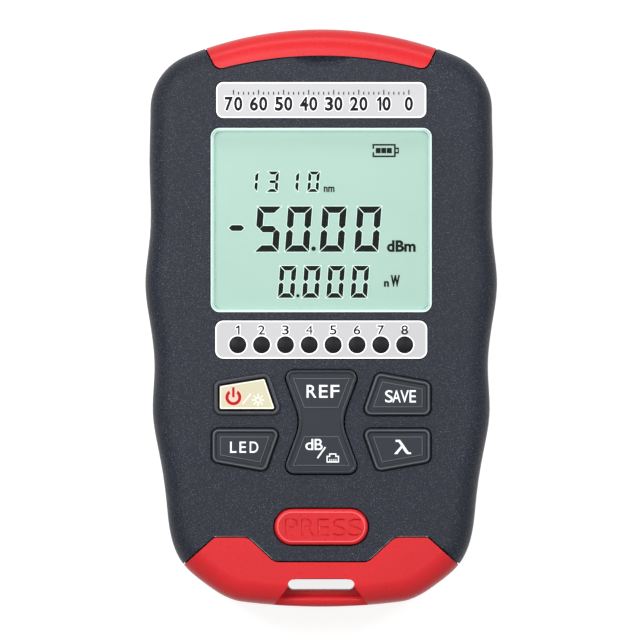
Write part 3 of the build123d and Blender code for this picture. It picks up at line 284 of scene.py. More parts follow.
class Finish:
    """A material being built: object coordinates, noises, ramps and one Principled shader."""

    def __init__(self, name, roughness, metallic=0.0, specular=0.5, coat=0.0):
        self.material = bpy.data.materials.new(name)
        self.material.use_nodes = True
        self.tree = self.material.node_tree
        self.shader = self.tree.nodes["Principled BSDF"]
        self.place = self.tree.nodes.new("ShaderNodeTexCoord").outputs["Object"]
        self.set("Roughness", roughness)
        self.set("Metallic", metallic)
        self.set("Specular IOR Level", specular)
        self.set("Coat Weight", coat)

    def set(self, name, value):
        """Give a shader socket one value."""
        self.shader.inputs[name].default_value = value

    def link(self, source, target):
        """Join two sockets."""
        self.tree.links.new(source, target)

    def noise(self, size, detail=2.0, stretch=(1.0, 1.0, 1.0)):
        """A noise with features of about that size."""
        mapping = self.tree.nodes.new("ShaderNodeMapping")
        mapping.inputs["Scale"].default_value = stretch
        self.link(self.place, mapping.inputs["Vector"])
        noise = self.tree.nodes.new("ShaderNodeTexNoise")
        noise.inputs["Scale"].default_value = 1 / (size * MM)
        noise.inputs["Detail"].default_value = detail
        self.link(mapping.outputs["Vector"], noise.inputs["Vector"])
        return output_of(noise, "Fac")

    def ramp(self, source, *stops):
        """Colours along a 0 to 1 value, as (place, colour) stops."""
        ramp = self.tree.nodes.new("ShaderNodeValToRGB")
        elements = ramp.color_ramp.elements
        while len(elements) < len(stops):
            elements.new(0.5)
        for element, (place, colour) in zip(elements, stops):
            element.position = place
            element.color = (*colour, 1.0)
        self.link(source, ramp.inputs["Fac"])
        return ramp.outputs["Color"]

    def mix(self, factor, first, second):
        """Mix two colour sockets by a third."""
        mix = self.tree.nodes.new("ShaderNodeMix")
        mix.data_type = "RGBA"
        self.link(factor, input_of(mix, "Factor"))
        self.link(first, input_of(mix, "A"))
        self.link(second, input_of(mix, "B"))
        return output_of(mix, "Result")

    def drift(self, source, colour, share):
        """A colour that drifts by a share to darker and lighter."""
        return self.ramp(source, (NOISE_LOW, scaled(colour, 1 - share)),
                         (NOISE_HIGH, scaled(colour, 1 + share)))

    def remap(self, source, low, high, from_low=NOISE_LOW, from_high=NOISE_HIGH):
        """Spread a value between two others."""
        remap = self.tree.nodes.new("ShaderNodeMapRange")
        for name, value in (("From Min", from_low), ("From Max", from_high),
                            ("To Min", low), ("To Max", high)):
            input_of(remap, name).default_value = value
        self.link(source, input_of(remap, "Value"))
        return output_of(remap, "Result")

    def vary_roughness(self, source, spread):
        """Let the roughness drift about its value."""
        middle = self.shader.inputs["Roughness"].default_value
        self.link(self.remap(source, middle - spread, middle + spread),
                  self.shader.inputs["Roughness"])

    def bump(self, source, depth):
        """Surface relief of that depth."""
        bump = self.tree.nodes.new("ShaderNodeBump")
        bump.inputs["Distance"].default_value = depth * MM
        bump.inputs["Strength"].default_value = 1.0
        self.link(source, bump.inputs["Height"])
        self.link(bump.outputs["Normal"], self.shader.inputs["Normal"])

    def paint(self, source):
        """Use a colour socket as the base colour."""
        self.link(source, self.shader.inputs["Base Color"])


def scaled(colour, factor):
    """A colour made lighter or darker."""
    return tuple(min(1.0, channel * factor) for channel in colour)


def plain(name, colour, roughness, grain=0.3, relief=0.01, drift=0.06, spread=0.05, **shader):
    """A moulded or printed finish with slight drift of colour and fine grain."""
    finish = Finish(name, roughness, **shader)
    finish.paint(finish.drift(finish.noise(size=14.0), colour, drift))
    fine = finish.noise(grain, detail=3.0)
    finish.vary_roughness(fine, spread)
    finish.bump(fine, relief)
    return finish


def speckled(name, colour, fleck, roughness, grain, relief, start, fade=0.14, **shader):
    """A grained moulding with pale flecks where its fine noise passes a start value."""
    finish = Finish(name, roughness, **shader)
    cloud = finish.noise(size=16.0)
    base = finish.drift(cloud, colour, 0.05)
    pale = finish.drift(cloud, fleck, 0.1)
    fine = finish.noise(grain, detail=1.0)
    where = finish.remap(fine, 0.0, 1.0, start, start + fade)
    finish.paint(finish.mix(where, base, pale))
    finish.vary_roughness(finish.noise(grain * 2.5), spread=0.06)
    finish.bump(fine, relief)
    return finish


def metal(name, colour, roughness, stretch):
    """Plated metal with fine drawn lines."""
    finish = Finish(name, roughness, metallic=1.0)
    lines = finish.noise(size=0.5, detail=3.0, stretch=stretch)
    finish.paint(finish.ramp(lines, (NOISE_LOW, scaled(colour, 0.92)), (NOISE_HIGH, colour)))
    finish.vary_roughness(lines, spread=0.08)
    finish.bump(lines, depth=0.002)
    return finish


def clear(name, colour, alpha, **shader):
    """Clear plastic, mostly see-through, with faint haze."""
    finish = plain(name, colour, 0.06, grain=1.2, relief=0.001, spread=0.02, **shader)
    finish.set("Alpha", alpha)
    return finish


def lit(name, colour, glow):
    """A display surface that gives a little light of its own."""
    finish = plain(name, colour, 0.4, grain=0.6, relief=0.002, drift=0.015)
    finish.set("Emission Color", (*colour, 1.0))
    finish.set("Emission Strength", glow)
    return finish


def board():
    """Green solder mask over faint copper runs."""
    mask, copper = (0.008, 0.085, 0.03), (0.02, 0.17, 0.06)
    finish = Finish("board_mask", 0.32, coat=0.2)
    runs = finish.noise(size=1.6, detail=0.0, stretch=(1.0, 0.15, 1.0))
    finish.paint(finish.ramp(runs, (0.46, mask), (0.5, copper), (0.56, mask)))
    finish.bump(runs, depth=0.02)
    finish.vary_roughness(finish.noise(size=0.4), spread=0.05)
    return finish


def cell():
    """Dark blue sleeve of a cell, a little clouded."""
    dark, light = (0.03, 0.1, 0.22), (0.04, 0.13, 0.27)
    finish = Finish("cell_sleeve", 0.28, coat=0.3)
    cloud = finish.noise(size=5.0)
    finish.paint(finish.ramp(cloud, (NOISE_LOW, dark), (NOISE_HIGH, light)))
    finish.vary_roughness(cloud, spread=0.05)
    finish.bump(finish.noise(size=0.4), depth=0.003)
    return finish


# Every finish by the name that the pieces use
FINISHES = {
    "housing": speckled("housing_plastic", (0.0065, 0.0088, 0.0175), (0.115, 0.12, 0.155), 0.36,
                        0.17, 0.1, start=0.61, specular=0.2),
    "red": speckled("red_plastic", (0.55, 0.013, 0.018), (0.64, 0.045, 0.055), 0.32, 0.26, 0.006,
                    start=0.7, specular=0.25),
    # Painted highlight: pale red for the line round the button's top
    "red_painted_highlight": plain("red_painted_highlight", (0.85, 0.13, 0.14), 0.3, relief=0.002, specular=0.4),
    "plate": plain("plate_film", (0.465, 0.465, 0.48), 0.38, drift=0.03, relief=0.004, specular=0.3),
    # Near-white print of number edges and lamp rings, and also the painted highlight along the plates'
    # edges
    "pale_print_and_highlight": plain("pale_print_and_plate_highlight", (0.93, 0.93, 0.95), 0.35, drift=0.01, relief=0.002),
    "keys": plain("key_rubber", (0.0105, 0.0135, 0.0205), 0.36, grain=0.2, relief=0.005, specular=0.26),
    # Painted highlight: pale grey lines on the key rims and plates
    "key_painted_highlight": plain("key_painted_highlight", (0.085, 0.09, 0.102), 0.35, grain=0.2, relief=0.003, specular=0.4),
    "cream": plain("cream_cap", (0.56, 0.53, 0.38), 0.4, drift=0.02, relief=0.004, specular=0.2),
    # Painted highlight: near-white line round the cream cap
    "cream_painted_highlight": plain("cream_painted_highlight", (0.82, 0.8, 0.7), 0.3, drift=0.01, relief=0.002),
    "bezel": plain("bezel_plastic", (0.026, 0.028, 0.037), 0.4, relief=0.012, specular=0.3),
    "lamp": plain("lamp_lens", (0.004, 0.004, 0.006), 0.4, relief=0.002, specular=0.12),
    "black": plain("black_plastic", (0.016, 0.016, 0.018), 0.45, relief=0.012),
    "white": plain("white_plastic", (0.78, 0.78, 0.77), 0.42, relief=0.008),
    "guide": plain("light_guide", (0.78, 0.85, 0.82), 0.25, relief=0.002),
    "silicone": plain("silicone", (0.26, 0.27, 0.29), 0.55, relief=0.01),
    "nickel": metal("nickel_plate", (0.72, 0.7, 0.66), 0.26, (1.0, 6.0, 1.0)),
    "steel": metal("steel", (0.62, 0.62, 0.63), 0.34, (6.0, 1.0, 1.0)),
    "gold": metal("gold_contact", (0.85, 0.6, 0.22), 0.24, (1.0, 1.0, 4.0)),
    "board": board(),
    "sleeve": cell(),
    "led": clear("clear_lamp", (0.92, 0.93, 0.95), 0.35),
    "window": clear("window_clear", (0.3, 0.4, 0.36), 0.01, specular=0.2),
    "lcd": lit("display_glass", (0.275, 0.425, 0.365), 0.12),
    # Painted light: a strong glow so the slope round the glass shows no shade
    "slope_painted_glow": lit("display_slope_glow", (0.23, 0.35, 0.305), 0.95),
    # Painted highlight: a glowing pale line round the window's edge
    "rim_glow_highlight": lit("display_rim_highlight", (0.64, 0.82, 0.76), 0.25),
    "halo": lit("figure_edge", (0.72, 0.9, 0.83), 0.12),
    "segment": plain("figure", (0.003, 0.004, 0.004), 0.6, relief=0.001, specular=0.05),
    "ink": plain("black_ink", (0.004, 0.004, 0.005), 0.5, relief=0.003, specular=0.1),
    "white_ink": plain("white_ink", (0.86, 0.88, 0.9), 0.5, relief=0.003, drift=0.02),
    "red_ink": plain("red_ink", (0.38, 0.01, 0.009), 0.42, relief=0.003, specular=0.1),
    "pink_ink": plain("pink_ink", (0.82, 0.5, 0.41), 0.42, relief=0.003, drift=0.02, specular=0.1),
    "pale_ink": plain("pale_ink", (0.95, 0.92, 0.8), 0.45, relief=0.003, drift=0.02),
}
FINISH = {name: finish.material for name, finish in FINISHES.items()}

NODE_FINISHES = {
    "housing": "front_shell rear_shell battery_door",
    "red": "dust_cover release_button remote_front_shell remote_rear_shell",
    "plate": "name_plate indicator_plate",
    "window": "display_window",
    "lcd": "lcd_panel",
    "guide": "lcd_backlight",
    "white": "lcd_frame",
    "bezel": "power_ring",
    "cream": "power_key",
    "keys": "torch_key save_key wavelength_key reference_key",
    "silicone": "keypad_mat",
    "steel": "release_springs dust_cover_pin board_screws case_screws",
    "nickel": "battery_springs contact_plates optical_adapter detector",
    "led": "torch_led",
    "black": "network_jack remote_jack port_panel processor buzzer",
    "board": "main_board remote_board",
    "lamp": " ".join(LAMP_NODES),
    "sleeve": "battery_1 battery_2 battery_3",
}


def dress_nodes():
    """Give every CAD node its material."""
    for finish, names in NODE_FINISHES.items():
        for name in names.split():
            node = NODES[name]
            node.data.materials.clear()
            node.data.materials.append(FINISH[finish])


def show(item):
    """Put an object in the scene."""
    bpy.context.scene.collection.objects.link(item)


def shown_mesh(item):
    """The mesh that an object has after its modifiers."""
    final = item.evaluated_get(bpy.context.evaluated_depsgraph_get())
    return bpy.data.meshes.new_from_object(final)


def new_piece(name, mesh, finish, body):
    """Put a mesh in the scene as a piece of the object."""
    mesh.materials.clear()
    mesh.materials.append(FINISH[finish])
    piece = bpy.data.objects.new(name, mesh)
    show(piece)
    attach(piece, body)
    return piece


def mesh_of(curve, name):
    """The mesh that a curve or text makes."""
    holder = bpy.data.objects.new(name, curve)
    show(holder)
    mesh = shown_mesh(holder)
    bpy.data.objects.remove(holder)
    mesh.name = name
    return mesh


def flat_mesh(name, outlines, low, high, edge=0.0):
    """A flat form between two heights, where an outline inside another is a hole."""
    curve = bpy.data.curves.new(name, "CURVE")
    curve.dimensions = "2D"
    curve.fill_mode = "BOTH"
    for outline in outlines:
        spline = curve.splines.new("POLY")
        spline.points.add(len(outline) - 1)
        for point, (x, y) in zip(spline.points, outline):
            point.co = (x * MM, y * MM, 0, 1)
        spline.use_cyclic_u = True
    curve.extrude = (high - low) / 2 * MM - edge * MM
    if edge:
        curve.bevel_depth = edge * MM
        curve.bevel_resolution = 2
        curve.offset = -edge * MM
    mesh = mesh_of(curve, name)
    for vertex in mesh.vertices:
        vertex.co.z += (low + high) / 2 * MM
    return mesh


def flat_piece(name, outlines, low, high, finish, body, slot, edge=0.0):
    """A flat piece between two heights."""
    return new_piece(name, flat_mesh(name, outlines, low, high, edge), finish, body)


def arc(x, y, radius, start, end, steps=ARC_STEPS):
    """Points along an arc, angles in degrees."""
    turns = [radians(start + (end - start) * step / steps) for step in range(steps + 1)]
    return [(x + radius * cos(turn), y + radius * sin(turn)) for turn in turns]


def circle(x, y, radius, steps=40):
    """Points round a circle."""
    return arc(x, y, radius, 0, 360 - 360 / steps, steps - 1)


def rounded_rectangle(middle, width, height, radius):
    """Outline of a rectangle with round corners."""
    x = width / 2 - radius
    y = height / 2 - radius
    outline = []
    for sx, sy, start in ((1, 1, 0), (-1, 1, 90), (-1, -1, 180), (1, -1, 270)):
        outline += arc(middle.x + sx * x, middle.y + sy * y, radius, start, start + 90)
    return outline


def rectangle(left, low, right, high):
    """Outline of a plain rectangle."""
    return [(left, low), (right, low), (right, high), (left, high)]


def frame_outlines(middle, width, height, radius, line):
    """Outer and inner outline of an even frame."""
    outer = rounded_rectangle(middle, width, height, radius)
    inner = rounded_rectangle(middle, width - 2 * line, height - 2 * line,
                              max(radius - line, LEAST_RADIUS))
    return [outer, inner]


def stroke(start, end, width):
    """Outline of a straight stroke with square ends."""
    start, end = Vector(start), Vector(end)
    along = (end - start).normalized()
    side = Vector((-along.y, along.x)) * width / 2
    return [tuple(point) for point in (start + side, start - side, end - side, end + side)]


def grown(outline, distance):
    """A convex outline with each side moved outward."""
    middle = sum((Vector(point) for point in outline), Vector((0, 0))) / len(outline)
    lines = []
    for first, second in zip(outline, outline[1:] + outline[:1]):
        first, second = Vector(first), Vector(second)
        along = (second - first).normalized()
        normal = Vector((along.y, -along.x))
        if normal.dot(first - middle) < 0:
            normal.negate()
        lines.append((first + normal * distance, along))
    corners = []
    for (point, along), (other, heading) in zip(lines[-1:] + lines[:-1], lines):
        cross = along.x * heading.y - along.y * heading.x
        step = ((other.x - point.x) * heading.y - (other.y - point.y) * heading.x) / cross
        corners.append(tuple(point + along * step))
    return corners


def rounded_corners(corners, radii, steps=6):
    """An outline with each of its corners rounded by its own radius."""
    outline = []
    following = corners[1:] + corners[:1]
    for before, corner, after, radius in zip(corners[-1:] + corners[:-1], corners, following,
                                             radii):
        corner = Vector(corner)
        back = (Vector(before) - corner).normalized()
        on = (Vector(after) - corner).normalized()
        half = back.angle(on) / 2
        middle = corner + (back + on).normalized() * radius / sin(half)
        first = corner + back * radius / tan(half) - middle
        last = corner + on * radius / tan(half) - middle
        for step in range(steps + 1):
            spoke = first.lerp(last, step / steps).normalized() * radius
            outline.append(tuple(middle + spoke))
    return outline


def rounded_key(corners, grow, radius):
    """A key's outline, grown all round."""
    corners = grown(list(corners), grow)
    return rounded_corners(corners, [max(radius + grow, LEAST_RADIUS)] * len(corners))


def bead_mesh(name, outline_at, top, profile):
    """A band round an outline, from (inset, drop) points."""
    loops = []
    for inset, drop in profile:
        loops.append([(x * MM, y * MM, (top - drop) * MM) for x, y in outline_at(inset)])
    return loops_mesh(name, loops)


def letter_mesh(name, text, box, low, high, weight):
    """Letters that just fill a box, between two heights."""
    letters = bpy.data.curves.new(name, "FONT")
    letters.body = text
    letters.offset = weight
    letters.resolution_u = 6
    letters.extrude = 0.5
    mesh = mesh_of(letters, name)
    corners = [vertex.co for vertex in mesh.vertices]
    left, right = min(c.x for c in corners), max(c.x for c in corners)
    foot, head = min(c.y for c in corners), max(c.y for c in corners)
    for corner in corners:
        corner.x = (box[0] + (corner.x - left) / (right - left) * (box[2] - box[0])) * MM
        corner.y = (box[1] + (corner.y - foot) / (head - foot) * (box[3] - box[1])) * MM
        corner.z = (low + (corner.z + 0.5) * (high - low)) * MM
    return mesh


def printed_letters(name, text, box, z, finish, body, weight):
    """Letters printed on a surface."""
    mesh = letter_mesh(name, text, box, z - PRINT_LIFT, z + PRINT, weight)
    return new_piece(name, mesh, finish, body)


def printed_word(name, word, z, finish, body, weight):
    """A word printed letter by letter, each in its own place."""
    low, high, letters = word
    for number, (letter, left, right) in enumerate(letters, start=1):
        printed_letters(f"{name}_{number}", letter, (left, low, right, high), z, finish, body,
                        weight)


def one_outline(box, line):
    """The figure 1: an upright bar with a slanting flag."""
    left, low, right, high = box
    height = high - low
    outer, inner, depth = ONE_FLAG
    return [(right - line, low), (right, low), (right, high), (right - ONE_TOP * line, high),
            (left, high - outer * height), (left, high - outer * height - depth * line),
            (right - line, high - inner * height - depth * line)]


def printed_number(name, number, middle, low, digit_width, height, z, weight, line):
    """A number with the pale edge that its print has."""
    high = low + height
    halo = NUMBER_HALO
    widths = [digit_width * (ONE_WIDTH if digit == "1" else 1) for digit in number]
    left = middle - (sum(widths) + DIGIT_GAP * digit_width * (len(number) - 1)) / 2
    for place, (digit, width) in enumerate(zip(number, widths), start=1):
        box = (left, low, left + width, high)
        wide = (left - halo, low - halo, left + width + halo, high + halo)
        label = f"{name}_{place}"
        if digit == "1":
            printed(f"{label}_edge", [one_outline(wide, line + 2 * halo)], z - PRINT / 2,
                    "pale_print_and_highlight")
            printed(label, [one_outline(box, line)], z, "ink")
        else:
            mesh = letter_mesh(f"{label}_edge", digit, wide, z - PRINT_LIFT, z + PRINT / 2,
                               weight + halo / height * FONT_HEIGHT)
            new_piece(f"{label}_edge", mesh, "pale_print_and_highlight", "housing")
            printed_letters(label, digit, box, z, "ink", "housing", weight)
        left += width + DIGIT_GAP * digit_width


def loops_mesh(name, loops, closed=True):
    """Bands between loops of points, metres, each loop joined to the next."""
    form = bmesh.new()
    rings = [[form.verts.new(point) for point in loop] for loop in loops]
    following = rings[1:] + rings[:1] if closed else rings[1:]
    for ring, other in zip(rings, following):
        count = max(len(ring), len(other))
        for number in range(count):
            after = (number + 1) % count
            corners = [ring[number % len(ring)], ring[after % len(ring)],
                       other[after % len(other)], other[number % len(other)]]
            form.faces.new(list(dict.fromkeys(corners)))
    bmesh.ops.recalc_face_normals(form, faces=form.faces)
    mesh = bpy.data.meshes.new(name)
    form.to_mesh(mesh)
    form.free()
    mesh.shade_smooth()
    mesh.set_sharp_from_angle(angle=radians(30))
    return mesh


def turned_mesh(name, profile, x, y):
    """A form turned about an upright line, from (radius, height) points."""
    loops = []
    for radius, height in profile:
        outline = circle(x, y, radius) if radius else [(x, y)]
        loops.append([(px * MM, py * MM, height * MM) for px, py in outline])
    return loops_mesh(name, loops, closed=False)


def printed(name, outlines, z, finish, body="housing", slot="plate"):
    """A printed mark on a surface, by default part of the housing; the slot is not used."""
    return flat_piece(name, outlines, z - PRINT_LIFT, z + PRINT, finish, body, slot)


# Seven-segment figures. Segment letters run clockwise from the top, then the middle.
SEGMENTS_LIT = {"0": "abcdef", "1": "bc", "3": "abcdg", "5": "acdfg"}


def segment_outline(segment, width, height, line):
    """One upright segment of a figure that stands on the origin."""
    gap = FIGURE_GAP
    end = gap * FIGURE_SIDE_GAP
    middle = height / 2
    top = [(gap, height), (line + gap, height - line), (width - line - gap, height - line),
           (width - gap, height)]
    side = [(0, height - end), (0, middle + line / 2), (line / 2, middle + gap),
            (line, middle + line / 2), (line, height - line - end)]
    bar = [(line / 2 + gap, middle), (line + gap, middle + line / 2),
           (width - line - gap, middle + line / 2), (width - line / 2 - gap, middle),
           (width - line - gap, middle - line / 2), (line + gap, middle - line / 2)]
    return {
        "a": top,
        "b": [(width - x, y) for x, y in side],
        "c": [(width - x, height - y) for x, y in side],
        "d": [(x, height - y) for x, y in top],
        "e": [(x, height - y) for x, y in side],
        "f": side,
        "g": bar,
    }[segment]


def figure_outlines():
    """Outlines of all lit segments, row by row."""
    outlines = []
    for figures, (base, width, height, line) in FIGURE_ROWS:
        for figure, left in figures:
            for segment in SEGMENTS_LIT[figure]:
                outline = segment_outline(segment, width, height, line)
                outlines.append([(left + x + y * FIGURE_LEAN, base + y) for x, y in outline])
    return outlines


def minus_outline():
    """The sign before the power figures: a bar with pointed ends."""
    left, low, right, high = MINUS_BOX
    slope = (high - low) / 2
    return [(left, (low + high) / 2), (left + slope, high), (right - slope, high),
            (right, (low + high) / 2), (right - slope, low), (left + slope, low)]


def battery_mark():
    """Outlines of the charge mark: case, nub and bars."""
    left, low, right, high = BATTERY_MARK
    line = BATTERY_MARK_LINE
    foot, head = low + line + HAIR, high - line - HAIR
    inset, reach, nub_line = BATTERY_MARK_NUB
    nub_low, nub_high, tip = low + inset, high - inset, right + reach
    outlines = [
        rectangle(left, low, right, low + line),
        rectangle(left, high - line, right, high),
        rectangle(right - line, foot, right, head),
        rectangle(left, foot, left + line, low + BATTERY_MARK_HOOK),
        rectangle(left, high - BATTERY_MARK_HOOK, left + line, head),
        rectangle(right + HAIR, nub_low, tip, nub_low + line),
        rectangle(right + HAIR, nub_high - line, tip, nub_high),
        rectangle(tip - nub_line, nub_low + line + HAIR, tip, nub_high - line - HAIR),
    ]
    beside, above = [share * line for share in BATTERY_MARK_ROOM]
    pitch = (right - left - 2 * beside) / BATTERY_MARK_BARS
    for bar in range(BATTERY_MARK_BARS):
        start = left + beside + pitch * bar
        outlines.append(rectangle(start, low + above, start + pitch * BATTERY_MARK_BAR,
                                  high - above))
    return outlines


def display_figures():
    """Everything that the display shows."""
    outlines = figure_outlines() + [minus_outline()]
    for number, outline in enumerate(outlines):
        low = LCD_Z + PRINT_LIFT + HALO_STEP * (number % HALO_STEPS)
        flat_piece(f"figure_edge_{number}", [grown(outline, HALO)], low, low + PRINT_LIFT, "halo",
                   "housing", "display")
    low, high = LCD_Z + FIGURE_LIFT, LCD_Z + FIGURE_LIFT + PRINT
    outlines += [circle(*point) for point in POINTS]
    flat_piece("display_figures", outlines, low, high, "segment", "housing", "display")
    flat_piece("display_charge_mark", battery_mark(), low, high, "segment", "housing", "display")
    for text, (*box, weight) in UNIT_BOXES.items():
        mesh = letter_mesh(f"display_unit_{text}", text, box, low, high, weight)
        new_piece(f"display_unit_{text}", mesh, "segment", "housing")


def display():
    """Window, a painted highlight line that glows a little behind its edge, a pale slope down to the
    glass that glows so it shows no shade, and the figures.
    """
    width = WINDOW_HIGH.x - WINDOW_LOW.x
    height = WINDOW_HIGH.y - WINDOW_LOW.y
    window = flat_piece("window_glass",
                        [rounded_rectangle(WINDOW_MIDDLE, width, height, WINDOW_RADIUS)],
                        WINDOW_LOW.z + 2 * PRINT, WINDOW_HIGH.z, "window", "housing",
                        "window_clear", edge=WINDOW_EDGE)
    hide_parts("display_window")
    # Painted highlight: a pale line that glows a little behind the window's edge
    low, high = WINDOW_LOW.z + HIGHLIGHT_LIFT, WINDOW_LOW.z + PRINT
    rim_glow_highlight = frame_outlines(WINDOW_MIDDLE, width, height, WINDOW_RADIUS, WINDOW_HIGHLIGHT_WIDTH)
    flat_piece("window_painted_highlight", rim_glow_highlight, low, high, "rim_glow_highlight", "housing", "display")

    # Pale slope from the window's ledge down to the glass; its strong glow is painted light that hides
    # the shade the slope would get
    loops = []
    for inset, z in ((WINDOW_HIGHLIGHT_WIDTH, high), (WINDOW_LEDGE, high),
                     (DISPLAY_SLOPE, LCD_Z + 2 * PRINT), (DISPLAY_SLOPE, LCD_Z + PRINT_LIFT),
                     (WINDOW_LEDGE, low), (WINDOW_HIGHLIGHT_WIDTH, low)):
        outline = rounded_rectangle(WINDOW_MIDDLE, width - 2 * inset, height - 2 * inset,
                                    WINDOW_RADIUS - inset / 2)
        loops.append([(x * MM, y * MM, z * MM) for x, y in outline])
    slope_painted_glow = loops_mesh("display_slope_glow", loops)
    new_piece("display_slope_glow", slope_painted_glow, "slope_painted_glow", "housing")
    display_figures()


def scale_plate():
    """Plain scale of numbers and ticks on the plate above the display, and a painted highlight along
    its edge.
    """
    z = NAME_HIGH.z
    pitch = SCALE_WIDTH / (len(SCALE_NUMBERS) - 1)
    left = NAME_MIDDLE.x - SCALE_WIDTH / 2
    ticks = []
    for number in range((len(SCALE_NUMBERS) - 1) * SCALE_TICKS + 1):
        x = left + pitch * number / SCALE_TICKS
        length = SCALE_SHORT_TICK if number % SCALE_TICKS else SCALE_LONG_TICK
        ticks.append(rectangle(x - SCALE_TICK_WIDTH / 2, SCALE_TICK_Y, x + SCALE_TICK_WIDTH / 2,
                               SCALE_TICK_Y + length))
    printed("scale_ticks", ticks, z, "ink")
    for place, number in enumerate(SCALE_NUMBERS):
        printed_number(f"scale_{number}", str(number), left + pitch * place, SCALE_NUMBER_LOW_Y,
                       SCALE_DIGIT_WIDTH, SCALE_NUMBER_HEIGHT, z, SCALE_NUMBER_WEIGHT,
                       SCALE_NUMBER_LINE)
    # Painted highlight along the plate's edge
    size = NAME_HIGH - NAME_LOW
    highlight_frame = frame_outlines(NAME_MIDDLE, size.x, size.y, NAME_RADIUS, PLATE_HIGHLIGHT_WIDTH)
    printed("name_plate_highlight", highlight_frame, z, "pale_print_and_highlight")


def lamp_plate():
    """Numbers, rings and a painted edge highlight on the plate round the lamps."""
    z = LAMP_PLATE_HIGH.z
    size = LAMP_PLATE_HIGH - LAMP_PLATE_LOW
    # Painted highlight along the plate's edge
    highlight_frame = frame_outlines(LAMP_PLATE_MIDDLE, size.x, size.y, LAMP_PLATE_RADIUS, PLATE_HIGHLIGHT_WIDTH)
    printed("lamp_plate_highlight", highlight_frame, z, "pale_print_and_highlight")
    rings = []
    for number, node in enumerate(LAMP_NODES, start=1):
        low, high = span(node)
        x, y = (low.x + high.x) / 2, (low.y + high.y) / 2
        rings += [circle(x, y, LAMP_HOLE_RADIUS + LAMP_RING_WIDTH), circle(x, y, LAMP_HOLE_RADIUS)]
        weight = LAMP_FOUR_WEIGHT if number == 4 else LAMP_NUMBER_WEIGHT
        printed_number(f"lamp_number_{number}", str(number), x, LAMP_NUMBER_Y,
                       LAMP_NUMBER_WIDTH, LAMP_NUMBER_HEIGHT, z, weight, LAMP_NUMBER_LINE)
        smoked_lamp(node, x, y, low.z)
    printed("lamp_rings", rings, z, "pale_print_and_highlight")


def smoked_lamp(node, x, y, foot):
    """A lamp with a flat smoked lens that fills its hole."""
    top = FRONT_Z - LAMP_LENS_SINK
    under = top - LAMP_LENS_THICKNESS
    rim = [(LAMP_LENS_RADIUS - inset, top - drop) for inset, drop in LAMP_LENS_EDGE]
    profile = [(0, top), *rim, (LAMP_LENS_RADIUS, under), (LAMP_BODY_RADIUS, under),
               (LAMP_BODY_RADIUS, foot + LAMP_FOOT_HEIGHT),
               (LAMP_FOOT_RADIUS, foot + LAMP_FOOT_HEIGHT), (LAMP_FOOT_RADIUS, foot), (0, foot)]
    name = f"{node}_smoked"
    lamp = new_piece(name, turned_mesh(name, profile, x, y), "lamp", "housing")
    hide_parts(node)


def power_mark():
    """Red switch mark, pale stroke and pale sun on the power key, and a painted highlight line round
    the cap's top.
    """
    x, y = POWER_MARK
    start, end = 90 + POWER_MARK_GAP, 450 - POWER_MARK_GAP
    inner = POWER_MARK_RADIUS - POWER_MARK_STROKE
    ring = arc(x, y, POWER_MARK_RADIUS, start, end, 36)
    ring += reversed(arc(x, y, inner, start + POWER_MARK_FLARE, end - POWER_MARK_FLARE, 36))
    half, head = POWER_MARK_BAR
    bar = rectangle(x - half, y, x + half, y + head)
    z = KEY_TOP_Z
    printed("power_mark_edge", [circle(x, y, POWER_MARK_HALO)], z - PRINT / 2, "pink_ink",
            "power", "cream_key")
    printed("power_mark", [ring, bar], z, "red_ink", "power", "cream_key")
    # Painted highlight: a pale line just inside the cap's edge
    rim = [rounded_key(POWER_KEY, -inset, POWER_KEY_CORNER) for inset in CREAM_HIGHLIGHT]
    printed("power_cap_painted_highlight", rim, z, "cream_painted_highlight", "power", "cream_key")
    sun = [circle(*SUN_MARK, radius, 24) for radius in SUN_RINGS]
    near, far, width = SUN_RAY
    for ray in range(SUN_RAYS):
        turn = 2 * pi * ray / SUN_RAYS
        ends = [(SUN_MARK[0] + reach * cos(turn), SUN_MARK[1] + reach * sin(turn))
                for reach in (near, far)]
        sun.append(stroke(*ends, width))
    printed("light_mark", sun + [stroke(*POWER_STROKE)], z, "pale_ink", "power", "cream_key")


def socket_mark():
    """Outline of a network socket seen from the front."""
    left, low, right, high = SOCKET_MARK_BOX
    half, step = SOCKET_MARK_NECK
    middle = (left + right) / 2

    def edge(line):
        near, far = middle - half + line, middle + half - line
        return [(left + line, low + line), (right - line, low + line),
                (right - line, high - step - line), (far, high - step - line),
                (far, high - line), (near, high - line), (near, high - step - line),
                (left + line, high - step - line)]

    first, pitch, width, foot, head = SOCKET_PIN
    pins = []
    for pin in range(SOCKET_PINS):
        x = left + SOCKET_MARK_LINE + first + pin * pitch
        pins.append(rectangle(x, low + SOCKET_MARK_LINE + foot, x + width,
                              low + SOCKET_MARK_LINE + head))
    return [edge(0), edge(SOCKET_MARK_LINE)] + pins


def wave_mark():
    """The wavelength letter, drawn as a long leg and a short one."""
    left, low = WAVE_MARK_LOW
    right, high = WAVE_MARK_HIGH
    width, height = right - left, high - low
    return [[(left + x * width, low + y * height) for x, y in leg] for leg in WAVE_MARK_LEGS]


def key_legends():
    """Marks on the keys."""
    z = KEY_TOP_Z
    for name, word, body in (("legend_ref", REF_WORD, "reference"),
                             ("legend_db", DB_WORD, "reference"),
                             ("legend_save", SAVE_WORD, "save"), ("legend_led", LED_WORD, "torch")):
        printed_word(name, word, z, "white_ink", body, LEGEND_WEIGHT)
    printed("legend_stroke", [stroke(*DB_STROKE)], z, "white_ink", "reference", "key_rubber")
    printed("legend_socket", socket_mark(), z, "white_ink", "reference", "key_rubber")
    printed("legend_wave", wave_mark(), z, "white_ink", "wavelength", "key_rubber")
    power_mark()


